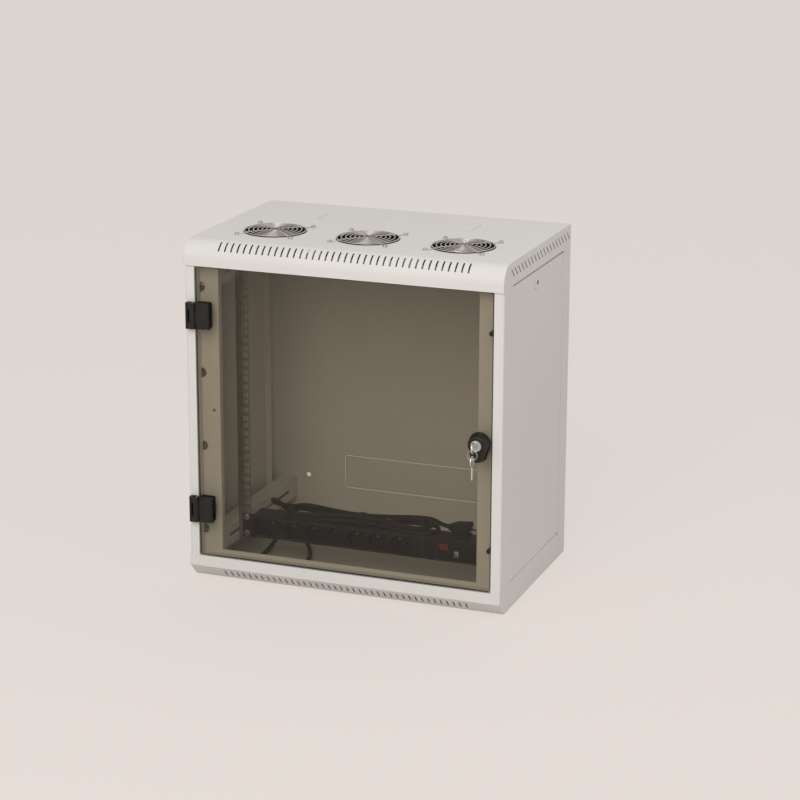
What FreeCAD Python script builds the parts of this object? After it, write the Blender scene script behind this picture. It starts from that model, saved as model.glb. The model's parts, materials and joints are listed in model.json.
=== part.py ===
import FreeCAD, Part
import math
import os
import Sketcher

# Wall mount network cabinet, 12 units high, for 19 inch equipment.
# The body is folded sheet steel: a roof with rolled front edge and fans, a tray with
# sloped front, two front posts, a rear panel with wings and two lift-off side panels.
# A tinted glass door hangs on two moulded hinges. Inside are two rack rails and a
# socket strip in the lowest unit, with its mains lead.
#
# Frame: millimetres, +X to the right seen from the front, +Y to the back, +Z up.
# The origin is on the underside of the tray, in the middle of its width and depth.

Vector = FreeCAD.Vector

SIZES = [
    # body
    ("width", 600.0, "overall width"),
    ("depth", 385.0, "post face to rear panel"),
    ("height", 635.0, "overall height"),
    ("sheet", 1.2, "body sheet"),
    ("fold", 14.0, "small stiffening folds"),
    ("free_gap", 0.3, "gap between pieces that move apart"),
    # roof
    ("roof_height", 45.0, "roof, seam to top"),
    ("roof_proud", 3.5, "roof front ahead of the posts"),
    ("roof_bend", 32.0, "rolled front edge"),
    ("opening_lip", 7.0, "lips round the door opening"),
    ("vent_count", 40, "front slots, roof and tray"),
    ("vent_pitch", 12.0, "front slot spacing"),
    ("vent_width", 3.0, "slot width"),
    ("vent_start", 1.0, "roof slot, first edge behind the post face"),
    ("vent_reach", 17.0, "roof slot, front to back"),
    ("side_vent_count", 19, "slanted slots in each roof side"),
    ("side_vent_pitch", 18.0, "slanted slot spacing"),
    ("side_vent_first", 38.0, "first slanted slot behind the post face"),
    ("side_vent_run", 15.0, "slanted slot, front to back and up"),
    ("side_vent_drop", 12.0, "slanted slot, top edge below the roof"),
    # tray
    ("tray_height", 45.0, "tray front"),
    ("tray_proud", 2.0, "tray front ahead of the posts"),
    ("tray_slope", 25.0, "sloped lower front edge"),
    ("tray_side_rise", 5.0, "tray sides above its front"),
    ("tray_side_back", 51.0, "sloped rear end of the tray sides"),
    ("tray_side_heel", 8.0, "tray side height at the back"),
    ("tray_vent_low", 6.0, "tray slot, lower end"),
    ("tray_vent_rise", 12.0, "tray slot, rise"),
    # posts
    ("post_face", 18.0, "front face of a post"),
    ("post_side", 46.0, "side of a post"),
    ("post_flange", 35.0, "inner flange behind the door"),
    ("post_lip", 12.0, "rearward lip of the inner flange"),
    ("post_corner", 4.0, "outer corner radius"),
    ("recess", 25.0, "door recess"),
    ("notch_radius", 9.0, "half-round notches in the posts"),
    ("notch_near", 69.0, "inner notches from mid height"),
    ("notch_far", 228.0, "outer notches from mid height"),
    ("post_hole_radius", 3.0, "hole at mid height in the inner flange"),
    # rear panel and wall fixing
    ("wing", 43.0, "side wings of the rear panel"),
    ("wall_hole_radius", 4.5, "wall fixing holes"),
    ("wall_hole_pitch_wide", 450.0, "wall fixing holes, side to side"),
    ("wall_hole_pitch_tall", 450.0, "wall fixing holes, up and down"),
    ("slit", 1.0, "slits round the knock-out plates"),
    ("slit_bridge", 3.0, "bridges that hold the knock-out plates"),
    ("rear_knockout_wide", 296.0, "rear knock-out"),
    ("rear_knockout_low", 75.0, "rear knock-out, lower edge"),
    ("knockout_tall", 66.0, "both knock-outs, short side"),
    ("roof_knockout_wide", 300.0, "roof knock-out"),
    ("roof_knockout_front", 252.0, "roof knock-out behind the post face"),
    # side panels
    ("panel_gap", 0.5, "gap round a side panel"),
    ("panel_top_gap", 3.5, "gap over a side panel"),
    ("side_lock_back", 184.0, "side lock behind the post face"),
    ("side_lock_down", 21.0, "side lock below the roof seam"),
    ("side_lock_radius", 8.0, "side lock barrel"),
    ("side_lock_flange", 14.0, "side lock flange"),
    ("side_plug_radius", 4.0, "turning plug of a side lock"),
    ("plug_clearance", 0.05, "running clearance of plugs and shafts"),
    ("cam_length", 30.0, "side lock cam"),
    ("cam_width", 11.0, "lock cams"),
    ("cam_sheet", 2.5, "lock cams"),
    # rack
    ("unit", 44.45, "rack unit"),
    ("units", 12, "rack units"),
    ("rack_hole_half", 232.55, "rack holes from the middle"),
    ("rack_hole", 9.5, "square rack holes"),
    ("rail_start", 54.0, "lower end of the first unit"),
    ("rail_back", 105.0, "rail face behind the post face"),
    ("rail_face", 25.0, "rail face width"),
    ("rail_leg", 40.0, "rail leg depth"),
    ("rail_sheet", 1.5, "rail and bracket sheet"),
    ("rail_edge", 17.45, "outer face of a rail leg beyond its holes"),
    ("bracket_tall", 40.0, "depth bracket web"),
    ("bracket_gap", 4.0, "depth bracket to the side panel"),
    ("bolt_head", 5.0, "rail bolt head radius"),
    ("bolt_shank", 2.9, "rail bolt shank radius"),
    # fans
    ("fan_pitch", 180.0, "fan spacing"),
    ("fan_back", 130.0, "fan centres behind the post face"),
    ("fan_hole_radius", 57.5, "holes in the roof"),
    ("fan_side", 120.0, "fan frame"),
    ("fan_thick", 25.0, "fan frame"),
    ("fan_bore", 58.0, "fan duct radius"),
    ("fan_bolt_pitch", 105.0, "fan screw holes"),
    ("fan_screw_radius", 2.0, "fan screws"),
    ("fan_screw_slack", 0.25, "radial clearance of the fan screws"),
    ("fan_corner", 6.0, "fan frame corners"),
    ("hub_radius", 21.0, "rotor hub"),
    ("motor_radius", 19.0, "motor plate"),
    ("rotor_gap", 1.5, "blade tip to duct"),
    ("shaft_radius", 1.5, "rotor shaft"),
    ("blade_count", 7, "rotor blades"),
    ("blade_sheet", 1.6, "rotor blade thickness"),
    ("strut_width", 5.0, "motor plate struts"),
    ("guard_rings", 7, "rings of a finger guard"),
    ("guard_pitch", 7.6, "ring spacing"),
    ("guard_wire", 1.8, "guard wire"),
    ("guard_rise", 4.0, "guard wires above the roof"),
    ("eyelet_radius", 4.6, "guard eyelets"),
    ("fan_screw_head", 3.9, "fan screw head radius"),
    # door
    ("glass", 5.0, "door glass"),
    ("door_gap", 2.0, "gap round the glass"),
    ("glass_corner", 4.0, "glass corners"),
    ("hinge_offset", 182.0, "hinges from mid height"),
    ("hinge_tall", 48.0, "hinge height"),
    ("hinge_axis_out", 2.0, "hinge axis outside the opening edge"),
    ("hinge_axis_front", 7.0, "hinge axis ahead of the glass"),
    ("knuckle_radius", 6.0, "hinge knuckles"),
    ("knuckle_tall", 12.0, "outer hinge knuckles"),
    ("hinge_pin_radius", 2.0, "hinge pins"),
    ("leaf_outer", 14.0, "post leaf reach"),
    ("leaf_front", 12.0, "post leaf thickness"),
    ("glass_leaf_reach", 30.0, "glass leaf reach from the opening edge"),
    ("glass_leaf", 8.0, "glass leaf thickness"),
    ("leaf_edge", 1.5, "rounded edge of the glass leaf beside the pin"),
    ("clamp_plate", 5.0, "plate behind the glass"),
    ("clamp_screw_radius", 2.4, "clamp screws"),
    ("buffer_offset", 197.5, "door buffers from mid height"),
    ("buffer_radius", 4.5, "door buffers"),
    ("buffer_in", 6.5, "door buffers inside the opening edge"),
    # door lock
    ("lock_in", 23.0, "lock inside the opening edge"),
    ("lock_up", 2.5, "lock above mid height"),
    ("lock_base_radius", 20.0, "lock housing at the glass"),
    ("lock_face_radius", 16.0, "lock housing at its face"),
    ("lock_lobe_drop", 21.0, "lower lobe below the lock"),
    ("lock_lobe_base", 14.0, "lower lobe at the glass"),
    ("lock_lobe_face", 10.0, "lower lobe at its face"),
    ("lock_out", 20.0, "lock housing ahead of the glass"),
    ("barrel_radius", 9.75, "lock barrel"),
    ("barrel_proud", 2.0, "lock barrel ahead of its housing"),
    ("barrel_back", 8.0, "lock barrel behind the glass"),
    ("plug_radius", 6.5, "lock plug"),
    ("backplate_radius", 14.0, "plate nut behind the glass"),
    ("backplate", 4.0, "plate nut behind the glass"),
    ("door_cam_length", 27.0, "door lock cam"),
    ("strike_margin", 1.5, "strike slot round the cam"),
    ("key_sheet", 2.0, "keys"),
    ("key_blade", 6.0, "key blades, width"),
    ("key_stem", 4.0, "key shoulder ahead of the plug"),
    ("key_bow", 10.0, "key bow radius"),
    ("key_eye", 3.2, "key eye radius"),
    ("key_blade_long", 24.0, "key blade length"),
    ("ring_radius", 9.0, "key ring, middle of its wire"),
    ("ring_wire", 0.8, "key ring wire radius"),
    # socket strip
    ("ear_room", 14.55, "socket strip end inside the rack holes"),
    ("strip_tall", 44.0, "socket strip"),
    ("strip_deep", 44.0, "socket strip"),
    ("strip_proud", 5.0, "strip face ahead of the rails"),
    ("strip_wall", 1.5, "strip channel wall"),
    ("strip_bevel", 4.0, "strip channel bevels"),
    ("strip_lip", 3.0, "strip channel front lips"),
    ("socket_count", 7, "sockets"),
    ("socket_pitch", 42.0, "socket spacing"),
    ("socket_inset", 38.0, "first socket from the left end of the strip"),
    ("socket_radius", 19.0, "socket recess"),
    ("socket_deep", 15.0, "socket recess"),
    ("contact_radius", 2.6, "socket contact holes"),
    ("contact_half", 9.5, "socket contact holes from the middle"),
    ("earth_radius", 2.4, "socket earth pins"),
    ("earth_up", 10.0, "earth pins above the socket centre"),
    ("switch_inset", 59.5, "rocker switch from the right end of the strip"),
    ("switch_up", 6.0, "rocker above the strip's middle"),
    ("rocker_half", 9.0, "rocker, half length"),
    ("rocker_tall", 11.0, "rocker height"),
    ("rocker_edge", 4.2, "rocker ends ahead of its pin"),
    ("rocker_dip", 2.9, "rocker middle ahead of its pin, and its back behind"),
    ("rocker_foot", 7.2, "rocker back, half length"),
    ("rocker_tilt", 8.0, "rocker tilt in degrees each way"),
    ("ear_sheet", 2.0, "mounting ears"),
    ("ear_edge", 8.75, "mounting ears beyond the rack holes"),
    ("rack_screw_radius", 2.9, "rack screws"),
    ("rack_screw_head", 6.0, "rack screws"),
    ("cage_nut", 10.5, "cage nuts"),
    # mains lead
    ("cord_radius", 4.0, "mains lead"),
    ("gland_radius", 7.0, "strain relief at the strip"),
    ("gland_long", 22.0, "strain relief at the strip"),
    ("gland_inset", 28.0, "strain relief from the left end of the strip"),
    ("lead_gap", 1.1, "tube of the lead behind the strain relief"),
    ("hank_inset", 2.0, "folds behind the strip's face"),
    ("fold_wide", 56.0, "width over one fold of the lead"),
    ("hank_side", 9.0, "one more lead beside the folds"),
    ("hank_waist", 13.0, "how far the tie draws each side in"),
    ("hank_tall", 16.8, "two leads lying on each other"),
    ("hank_left_inset", 53.0, "folded lead from the left end of the strip"),
    ("hank_right_inset", 80.0, "folded lead from the right end of the strip"),
    ("plug_inset", 64.0, "mains plug from the right end of the strip"),
    ("plug_wide", 28.0, "mains plug"),
    ("plug_tall", 20.0, "mains plug"),
    ("plug_long", 42.0, "mains plug"),
    ("blade_long", 14.0, "plug blades"),
]

document = FreeCAD.newDocument("NetworkCabinet")
sheet = document.addObject("Spreadsheet::Sheet", "Sizes")
for row, (alias, value, meaning) in enumerate(SIZES, start=1):
    sheet.set(f"A{row}", meaning)
    sheet.set(f"B{row}", str(value))
    sheet.setAlias(f"B{row}", alias)
document.recompute()


class Size:
    """A number from the sheet that carries the formula it is bound with."""

    def __init__(self, value, formula):
        self.value = float(value)
        self.formula = formula

    def __add__(self, other):
        return Size(self.value + number(other), f"({self.formula} + {formula(other)})")

    def __radd__(self, other):
        return Size(number(other) + self.value, f"({formula(other)} + {self.formula})")

    def __sub__(self, other):
        return Size(self.value - number(other), f"({self.formula} - {formula(other)})")

    def __rsub__(self, other):
        return Size(number(other) - self.value, f"({formula(other)} - {self.formula})")

    def __mul__(self, other):
        return Size(self.value * number(other), f"({self.formula} * {formula(other)})")

    __rmul__ = __mul__

    def __truediv__(self, other):
        return Size(self.value / number(other), f"({self.formula} / {formula(other)})")

    def __neg__(self):
        return self * -1


def number(value):
    return value.value if isinstance(value, Size) else float(value)


def formula(value):
    return value.formula if isinstance(value, Size) else f"({float(value):.9g})"


class Dimensions:
    """Reads a named size from the sheet."""

    def __getattr__(self, alias):
        return Size(float(sheet.get(alias)), f"Sizes.{alias}")


dim = Dimensions()

half_width = dim.width / 2
front = -dim.depth / 2
back = dim.depth / 2
seam_low = dim.tray_height
seam_high = dim.height - dim.roof_height
middle = (seam_low + seam_high) / 2
opening_half = half_width - dim.post_face

sub_parts = []


def keep(feature, label):
    """Names a finished sub-part; its label is its file name."""
    feature.Label = label
    sub_parts.append(feature)
    return feature


def bind(feature, name, value):
    if isinstance(value, Size):
        feature.setExpression(name, value.formula)
    else:
        setattr(feature, name, value)


def place(feature, x, y, z):
    """Binds the three coordinates of a feature's placement."""
    for axis, value in zip("xyz", (x, y, z)):
        feature.setExpression(f"Placement.Base.{axis}", formula(value))


# ---------------------------------------------------------------- sketches

def unit(dx, dy):
    length = math.hypot(dx, dy)
    return dx / length, dy / length


def rounded_corners(points):
    """Turns (u, v) and (u, v, radius) corners into line ends and arcs.

    Each corner becomes (end of the line before, start of the line after, arc or None).
    """
    corners = []
    count = len(points)
    for index, point in enumerate(points):
        u, v = point[:2]
        if len(point) == 2:
            corners.append(((u, v), (u, v), None))
            continue
        radius = point[2]
        before = points[index - 1]
        after = points[(index + 1) % count]
        in_u, in_v = unit(number(u) - number(before[0]), number(v) - number(before[1]))
        out_u, out_v = unit(number(after[0]) - number(u), number(after[1]) - number(v))
        turn = math.atan2(in_u * out_v - in_v * out_u, in_u * out_u + in_v * out_v)
        reach = math.tan(abs(turn) / 2)
        first = (u - radius * (in_u * reach), v - radius * (in_v * reach))
        last = (u + radius * (out_u * reach), v + radius * (out_v * reach))
        side = 1 if turn > 0 else -1
        centre = (number(first[0]) - side * in_v * number(radius),
                  number(first[1]) + side * in_u * number(radius))
        corners.append((first, last, (centre, radius, side)))
    return corners


def pin_point(sketch, geometry, end, point):
    """Ties one end of a sketch line to two named distances."""
    for kind, value in (("DistanceX", point[0]), ("DistanceY", point[1])):
        constraint = sketch.addConstraint(
            Sketcher.Constraint(kind, -1, 1, geometry, end, number(value)))
        if isinstance(value, Size):
            sketch.setExpression(f"Constraints[{constraint}]", value.formula)


def draw_outline(sketch, points):
    """Draws a closed outline of lines with rounded corners, every point bound."""
    corners = rounded_corners(points)
    lines = []
    for index, corner in enumerate(corners):
        start = corner[1]
        stop = corners[(index + 1) % len(corners)][0]
        line = sketch.addGeometry(Part.LineSegment(
            Vector(number(start[0]), number(start[1]), 0),
            Vector(number(stop[0]), number(stop[1]), 0)), False)
        lines.append(line)
    for index, (first, last, arc) in enumerate(corners):
        line_before = lines[index - 1]
        line_after = lines[index]
        pin_point(sketch, line_after, 1, last)
        if arc is None:
            sketch.addConstraint(Sketcher.Constraint("Coincident", line_before, 2, line_after, 1))
            continue
        pin_point(sketch, line_before, 2, first)
        centre, radius, side = arc
        ends = [math.atan2(number(point[1]) - centre[1], number(point[0]) - centre[0])
                for point in (first, last)]
        if side < 0:
            ends.reverse()
        if ends[1] < ends[0]:
            ends[1] += 2 * math.pi
        circle = Part.Circle(Vector(centre[0], centre[1], 0), Vector(0, 0, 1), number(radius))
        curve = sketch.addGeometry(Part.ArcOfCircle(circle, ends[0], ends[1]), False)
        arc_first, arc_last = (1, 2) if side > 0 else (2, 1)
        sketch.addConstraint(Sketcher.Constraint("Coincident", line_before, 2, curve, arc_first))
        sketch.addConstraint(Sketcher.Constraint("Coincident", line_after, 1, curve, arc_last))
        constraint = sketch.addConstraint(Sketcher.Constraint("Radius", curve, number(radius)))
        if isinstance(radius, Size):
            sketch.setExpression(f"Constraints[{constraint}]", radius.formula)


def draw_circle(sketch, u, v, radius):
    curve = sketch.addGeometry(
        Part.Circle(Vector(number(u), number(v), 0), Vector(0, 0, 1), number(radius)), False)
    pin_point(sketch, curve, 3, (u, v))
    constraint = sketch.addConstraint(Sketcher.Constraint("Radius", curve, number(radius)))
    if isinstance(radius, Size):
        sketch.setExpression(f"Constraints[{constraint}]", radius.formula)


def new_sketch(body, name, plane, offset, loops):
    """A sketch on one of the body's own planes, moved along its normal by offset.

    A loop is a list of corners, or a tuple ("circle", u, v, radius).
    """
    sketch = body.newObject("Sketcher::SketchObject", name)
    support = next(item for item in body.Origin.OriginFeatures if item.Role == plane + "_Plane")
    sketch.AttachmentSupport = (support, "")
    sketch.MapMode = "FlatFace"
    sketch.setExpression(".AttachmentOffset.Base.z", formula(offset))
    for loop in loops:
        if loop[0] == "circle":
            draw_circle(sketch, *loop[1:])
        else:
            draw_outline(sketch, loop)
    return sketch


def add_pad(body, name, plane, loops, low, high):
    """Adds material between two positions along the plane's axis."""
    offset = -high if plane == "XZ" else low
    sketch = new_sketch(body, name + "_outline", plane, offset, loops)
    pad = body.newObject("PartDesign::Pad", name)
    pad.Profile = sketch
    pad.setExpression("Length", formula(high - low))
    sketch.Visibility = False
    return pad


def cut_pocket(body, name, plane, loops, low, high):
    """Cuts between two positions along the plane's axis."""
    offset = -low if plane == "XZ" else high
    sketch = new_sketch(body, name + "_outline", plane, offset, loops)
    pocket = body.newObject("PartDesign::Pocket", name)
    pocket.Profile = sketch
    pocket.setExpression("Length", formula(high - low))
    return pocket


def repeat(body, feature, direction, length, count):
    """A straight pattern of one feature along its sketch's H_Axis or V_Axis."""
    pattern = body.newObject("PartDesign::LinearPattern", feature.Name + "_row")
    pattern.Originals = [feature]
    pattern.Direction = (feature.Profile[0], [direction])
    bind(pattern, "Length", length)
    bind(pattern, "Occurrences", count)
    body.Tip = pattern
    return pattern


def new_body(name):
    return document.addObject("PartDesign::Body", name)


def rectangle(u_low, u_high, v_low, v_high):
    return [(u_low, v_low), (u_high, v_low), (u_high, v_high), (u_low, v_high)]


def folded_strip(path, wall):
    """The outline of folded sheet: a path along one skin and its copy one wall away.

    Path corners are (u, v) or (u, v, radius); the wall lies to the left of the path.
    """
    count = len(path)
    steps = []
    for index in range(count - 1):
        first, second = path[index], path[index + 1]
        steps.append(unit(number(second[0]) - number(first[0]), number(second[1]) - number(first[1])))
    other = []
    for index, point in enumerate(path):
        before = steps[max(index - 1, 0)]
        after = steps[min(index, count - 2)]
        normals = [(-step[1], step[0]) for step in (before, after)]
        share = 1 + normals[0][0] * normals[1][0] + normals[0][1] * normals[1][1]
        move = [(normals[0][axis] + normals[1][axis]) / share for axis in (0, 1)]
        moved = (point[0] + wall * move[0], point[1] + wall * move[1])
        if len(point) == 3:
            turn = before[0] * after[1] - before[1] * after[0]
            moved += (point[2] - wall if turn > 0 else point[2] + wall,)
        other.append(moved)
    return list(path) + other[::-1]


# ------------------------------------------------------- primitives and groups

def box(name, x, y, z):
    """A box from three (low, high) pairs."""
    feature = document.addObject("Part::Box", name)
    for prop, (low, high) in zip(("Length", "Width", "Height"), (x, y, z)):
        feature.setExpression(prop, formula(high - low))
    place(feature, x[0], y[0], z[0])
    return feature


TURNS = {
    "x": FreeCAD.Rotation(Vector(0, 1, 0), 90),
    "y": FreeCAD.Rotation(Vector(1, 0, 0), -90),
    "z": FreeCAD.Rotation(),
}


def rod(name, axis, x, y, z, radius, length):
    """A cylinder that starts at x, y, z and runs along +axis."""
    feature = document.addObject("Part::Cylinder", name)
    feature.Placement.Rotation = TURNS[axis]
    bind(feature, "Radius", radius)
    feature.setExpression("Height", formula(length))
    place(feature, x, y, z)
    return feature


def fuse(name, *pieces):
    feature = document.addObject("Part::MultiFuse", name)
    feature.Shapes = list(pieces)
    feature.Refine = True
    return feature


def cut(name, base, *tools):
    tool = tools[0] if len(tools) == 1 else fuse(name + "_tools", *tools)
    feature = document.addObject("Part::Cut", name)
    feature.Base = base
    feature.Tool = tool
    return feature


def group(name, pieces):
    """Separate solids that share one node."""
    feature = document.addObject("Part::Compound", name)
    feature.Links = list(pieces)
    return feature


SIDES = (("left", -1), ("right", 1))
LEVELS = (("lower", -1), ("upper", 1))


def across(side, near, far):
    """The (low, high) pair for x between two distances from the middle, on one side."""
    return (near, far) if side > 0 else (-far, -near)


# ------------------------------------------------------------------- roof

fan_positions = [("left", -dim.fan_pitch), ("centre", dim.fan_pitch * 0), ("right", dim.fan_pitch)]
fan_y = front + dim.fan_back
fan_bolt_half = dim.fan_bolt_pitch / 2


def bolt_corners(x, y, half):
    return [(x + half * turn_x, y + half * turn_y) for turn_x in (-1, 1) for turn_y in (-1, 1)]


def knockout_slits(u_half, v_low, v_high):
    """Four slits round a knock-out plate, with a bridge at each corner."""
    bridge = dim.slit_bridge
    return [
        rectangle(-u_half + bridge, u_half - bridge, v_low, v_low + dim.slit),
        rectangle(-u_half + bridge, u_half - bridge, v_high - dim.slit, v_high),
        rectangle(-u_half, -u_half + dim.slit, v_low + bridge, v_high - bridge),
        rectangle(u_half - dim.slit, u_half, v_low + bridge, v_high - bridge),
    ]


def cut_lip_ends(body, name, low, high):
    """The lip behind the door opening stops short of the flanges of the posts."""
    lip_y = front + dim.recess
    for side, sign in SIDES:
        start, stop = across(sign, flange_inner - dim.free_gap, half_width + dim.sheet)
        cut_pocket(body, f"{name}_lip_end_{side}", "YZ",
                   [rectangle(lip_y - dim.sheet, lip_y + dim.sheet * 2, low, high)], start, stop)


def make_roof():
    body = new_body("roof_hood")
    nose = front - dim.roof_proud
    lip_y = front + dim.recess
    profile = [
        (lip_y, seam_high - dim.opening_lip),
        (lip_y, seam_high),
        (nose, seam_high),
        (nose, dim.height, dim.roof_bend),
        (back, dim.height),
        (back, seam_high),
    ]
    # The path runs up the front and back over the top, so the wall lies on its right.
    add_pad(body, "roof_skin", "YZ", [folded_strip(profile[::-1], dim.sheet)],
            -half_width, half_width)
    panel_front = front + dim.post_side
    panel_back = back - dim.wing
    side_low = seam_high + dim.panel_top_gap
    side = [
        (nose, seam_high), (panel_front, seam_high), (panel_front, side_low),
        (panel_back, side_low), (panel_back, seam_high), (back, seam_high),
        (back, dim.height), (nose, dim.height, dim.roof_bend),
    ]
    for name, sign in SIDES:
        low, high = across(sign, half_width - dim.sheet, half_width)
        add_pad(body, f"roof_side_{name}", "YZ", [side], low, high)
    cut_lip_ends(body, "roof", seam_high - dim.opening_lip, seam_high)
    # A fold along the lower edge of each side: the cams of the side locks catch on it.
    for name, sign in SIDES:
        low, high = across(sign, half_width - dim.fold, half_width)
        add_pad(body, f"roof_fold_{name}", "XY", [rectangle(low, high, panel_front, panel_back)],
                side_low, side_low + dim.sheet)
    holes = []
    for _, x in fan_positions:
        holes.append(("circle", x, fan_y, dim.fan_hole_radius))
        for u, v in bolt_corners(x, fan_y, fan_bolt_half):
            holes.append(("circle", u, v, dim.fan_screw_radius + dim.fan_screw_slack))
    knockout = front + dim.roof_knockout_front
    holes += knockout_slits(dim.roof_knockout_wide / 2, knockout, knockout + dim.knockout_tall)
    cut_pocket(body, "roof_holes", "XY", holes, dim.height - dim.sheet * 2, dim.height + dim.sheet)
    first = -dim.vent_pitch * (dim.vent_count - 1) / 2
    slot_y = front + dim.vent_start
    slot = rectangle(first - dim.vent_width / 2, first + dim.vent_width / 2,
                     slot_y, slot_y + dim.vent_reach)
    vent = cut_pocket(body, "roof_vent", "XY", [slot],
                      dim.height - dim.roof_bend, dim.height + dim.sheet)
    repeat(body, vent, "H_Axis", dim.vent_pitch * (dim.vent_count - 1), dim.vent_count)
    slant_y = front + dim.side_vent_first
    slant_z = dim.height - dim.side_vent_drop
    half_slot = dim.vent_width / 2 * math.sqrt(2)
    slant = [
        (slant_y - half_slot, slant_z),
        (slant_y + dim.side_vent_run - half_slot, slant_z - dim.side_vent_run),
        (slant_y + dim.side_vent_run + half_slot, slant_z - dim.side_vent_run),
        (slant_y + half_slot, slant_z),
    ]
    side_vent = cut_pocket(body, "side_vent", "YZ", [slant],
                           -half_width - dim.sheet, half_width + dim.sheet)
    repeat(body, side_vent, "H_Axis", dim.side_vent_pitch * (dim.side_vent_count - 1),
           dim.side_vent_count)
    return keep(body, "roof_hood")


# ------------------------------------------------------------------- tray

def make_tray():
    body = new_body("base_tray")
    nose = front - dim.tray_proud
    lip_y = front + dim.recess
    profile = [
        (lip_y, seam_low + dim.opening_lip),
        (lip_y, seam_low),
        (nose, seam_low),
        (nose, dim.tray_slope),
        (nose + dim.tray_slope, seam_low * 0),
        (back, seam_low * 0),
        (back, seam_low),
    ]
    add_pad(body, "tray_skin", "YZ", [folded_strip(profile, dim.sheet)], -half_width, half_width)
    side = [
        (nose, seam_low), (nose, dim.tray_slope), (nose + dim.tray_slope, seam_low * 0),
        (back, seam_low * 0), (back, dim.tray_side_heel),
        (back - dim.tray_side_back, seam_low + dim.tray_side_rise),
        (front + dim.post_side, seam_low + dim.tray_side_rise),
        (front + dim.post_side, seam_low),
    ]
    for name, sign in SIDES:
        low, high = across(sign, half_width - dim.sheet, half_width)
        add_pad(body, f"tray_side_{name}", "YZ", [side], low, high)
    cut_lip_ends(body, "tray", seam_low, seam_low + dim.opening_lip)
    # A fold along the top edge of each side: the side panel stands over it.
    side_top = seam_low + dim.tray_side_rise
    for name, sign in SIDES:
        low, high = across(sign, half_width - dim.fold, half_width)
        add_pad(body, f"tray_fold_{name}", "XY",
                [rectangle(low, high, front + dim.post_side, back - dim.tray_side_back)],
                side_top - dim.sheet, side_top)
    # The rear wing of the back panel reaches down past the end of each tray side.
    corner = [
        (back + dim.sheet, dim.tray_side_heel),
        (back - dim.sheet, dim.tray_side_heel),
        (back - dim.sheet, seam_low + dim.tray_side_rise),
        (back + dim.sheet, seam_low + dim.tray_side_rise),
    ]
    for name, sign in SIDES:
        low, high = across(sign, half_width - dim.sheet - dim.free_gap, half_width + dim.sheet)
        cut_pocket(body, f"tray_corner_{name}", "YZ", [corner], low, high)
    first = -dim.vent_pitch * (dim.vent_count - 1) / 2
    slot = rectangle(first - dim.vent_width / 2, first + dim.vent_width / 2,
                     dim.tray_vent_low, dim.tray_vent_low + dim.tray_vent_rise)
    vent = cut_pocket(body, "tray_vent", "XZ", [slot], nose - dim.sheet, nose + dim.tray_slope)
    repeat(body, vent, "H_Axis", dim.vent_pitch * (dim.vent_count - 1), dim.vent_count)
    return keep(body, "base_tray")


# ------------------------------------------------------------- front posts

flange_inner = opening_half - dim.post_flange
lock_x = opening_half - dim.lock_in
lock_z = middle + dim.lock_up
cam_low = front + dim.glass + dim.barrel_back + dim.free_gap
cam_back = cam_low + dim.cam_sheet


def make_post(name, sign):
    body = new_body(f"front_post_{name}")
    path = [
        (flange_inner * sign, front + dim.recess + dim.post_lip),
        (flange_inner * sign, front + dim.recess),
        (opening_half * sign, front + dim.recess),
        (opening_half * sign, front),
        (half_width * sign, front, dim.post_corner),
        (half_width * sign, front + dim.post_side),
        ((half_width - dim.fold) * sign, front + dim.post_side),
    ]
    if sign < 0:
        path.reverse()
    add_pad(body, f"post_skin_{name}", "XY", [folded_strip(path, dim.sheet)], seam_low, seam_high)
    notches = [("circle", opening_half * sign, middle + offset, dim.notch_radius)
               for offset in (-dim.notch_far, -dim.notch_near, dim.notch_near, dim.notch_far)]
    cut_pocket(body, f"post_notches_{name}", "XZ", notches,
               front + dim.recess - dim.sheet * 2, front + dim.recess + dim.sheet * 2)
    hole = [("circle", (flange_inner + dim.post_lip) * sign, middle, dim.post_hole_radius)]
    cut_pocket(body, f"post_hole_{name}", "XZ", hole,
               front + dim.recess - dim.sheet, front + dim.recess + dim.sheet * 2)
    if sign > 0:
            # The cam of the door lock turns sideways into this slot, behind the post face.
        strike = rectangle(cam_low - dim.strike_margin, cam_back + dim.strike_margin,
                           lock_z - dim.door_cam_length + dim.strike_margin,
                           lock_z + dim.cam_width / 2 + dim.strike_margin)
        cut_pocket(body, "post_strike", "YZ", [strike],
                   opening_half - dim.sheet, opening_half + dim.sheet * 2)
    return keep(body, f"front_post_{name}")


# -------------------------------------------------------------- rear panel

def make_rear_panel():
    body = new_body("rear_panel")
    wing_front = back - dim.wing
    path = [
        (half_width - dim.fold, wing_front),
        (half_width, wing_front),
        (half_width, back),
        (-half_width, back),
        (-half_width, wing_front),
        (-half_width + dim.fold, wing_front),
    ]
    add_pad(body, "rear_skin", "XY", [folded_strip(path, dim.sheet)], seam_low, seam_high)
    slope = (dim.tray_side_rise + seam_low - dim.tray_side_heel) / dim.tray_side_back
    tail = [
        (wing_front, seam_low),
        (wing_front, seam_low + dim.tray_side_rise
         - slope * (dim.tray_side_back - dim.wing)),
        (back, dim.tray_side_heel),
        (back, seam_low),
    ]
    for name, sign in SIDES:
        low, high = across(sign, half_width - dim.sheet, half_width)
        add_pad(body, f"rear_tail_{name}", "YZ", [tail], low, high)
    holes = knockout_slits(dim.rear_knockout_wide / 2, dim.rear_knockout_low,
                           dim.rear_knockout_low + dim.knockout_tall)
    for turn_x in (-1, 1):
        for turn_z in (-1, 1):
            holes.append(("circle", dim.wall_hole_pitch_wide / 2 * turn_x,
                          middle + dim.wall_hole_pitch_tall / 2 * turn_z, dim.wall_hole_radius))
    cut_pocket(body, "rear_holes", "XZ", holes, back - dim.sheet * 2, back + dim.sheet)
    return keep(body, "rear_panel")


# ------------------------------------------------------------- side panels

side_lock_y = front + dim.side_lock_back
side_lock_z = seam_high - dim.side_lock_down


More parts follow.
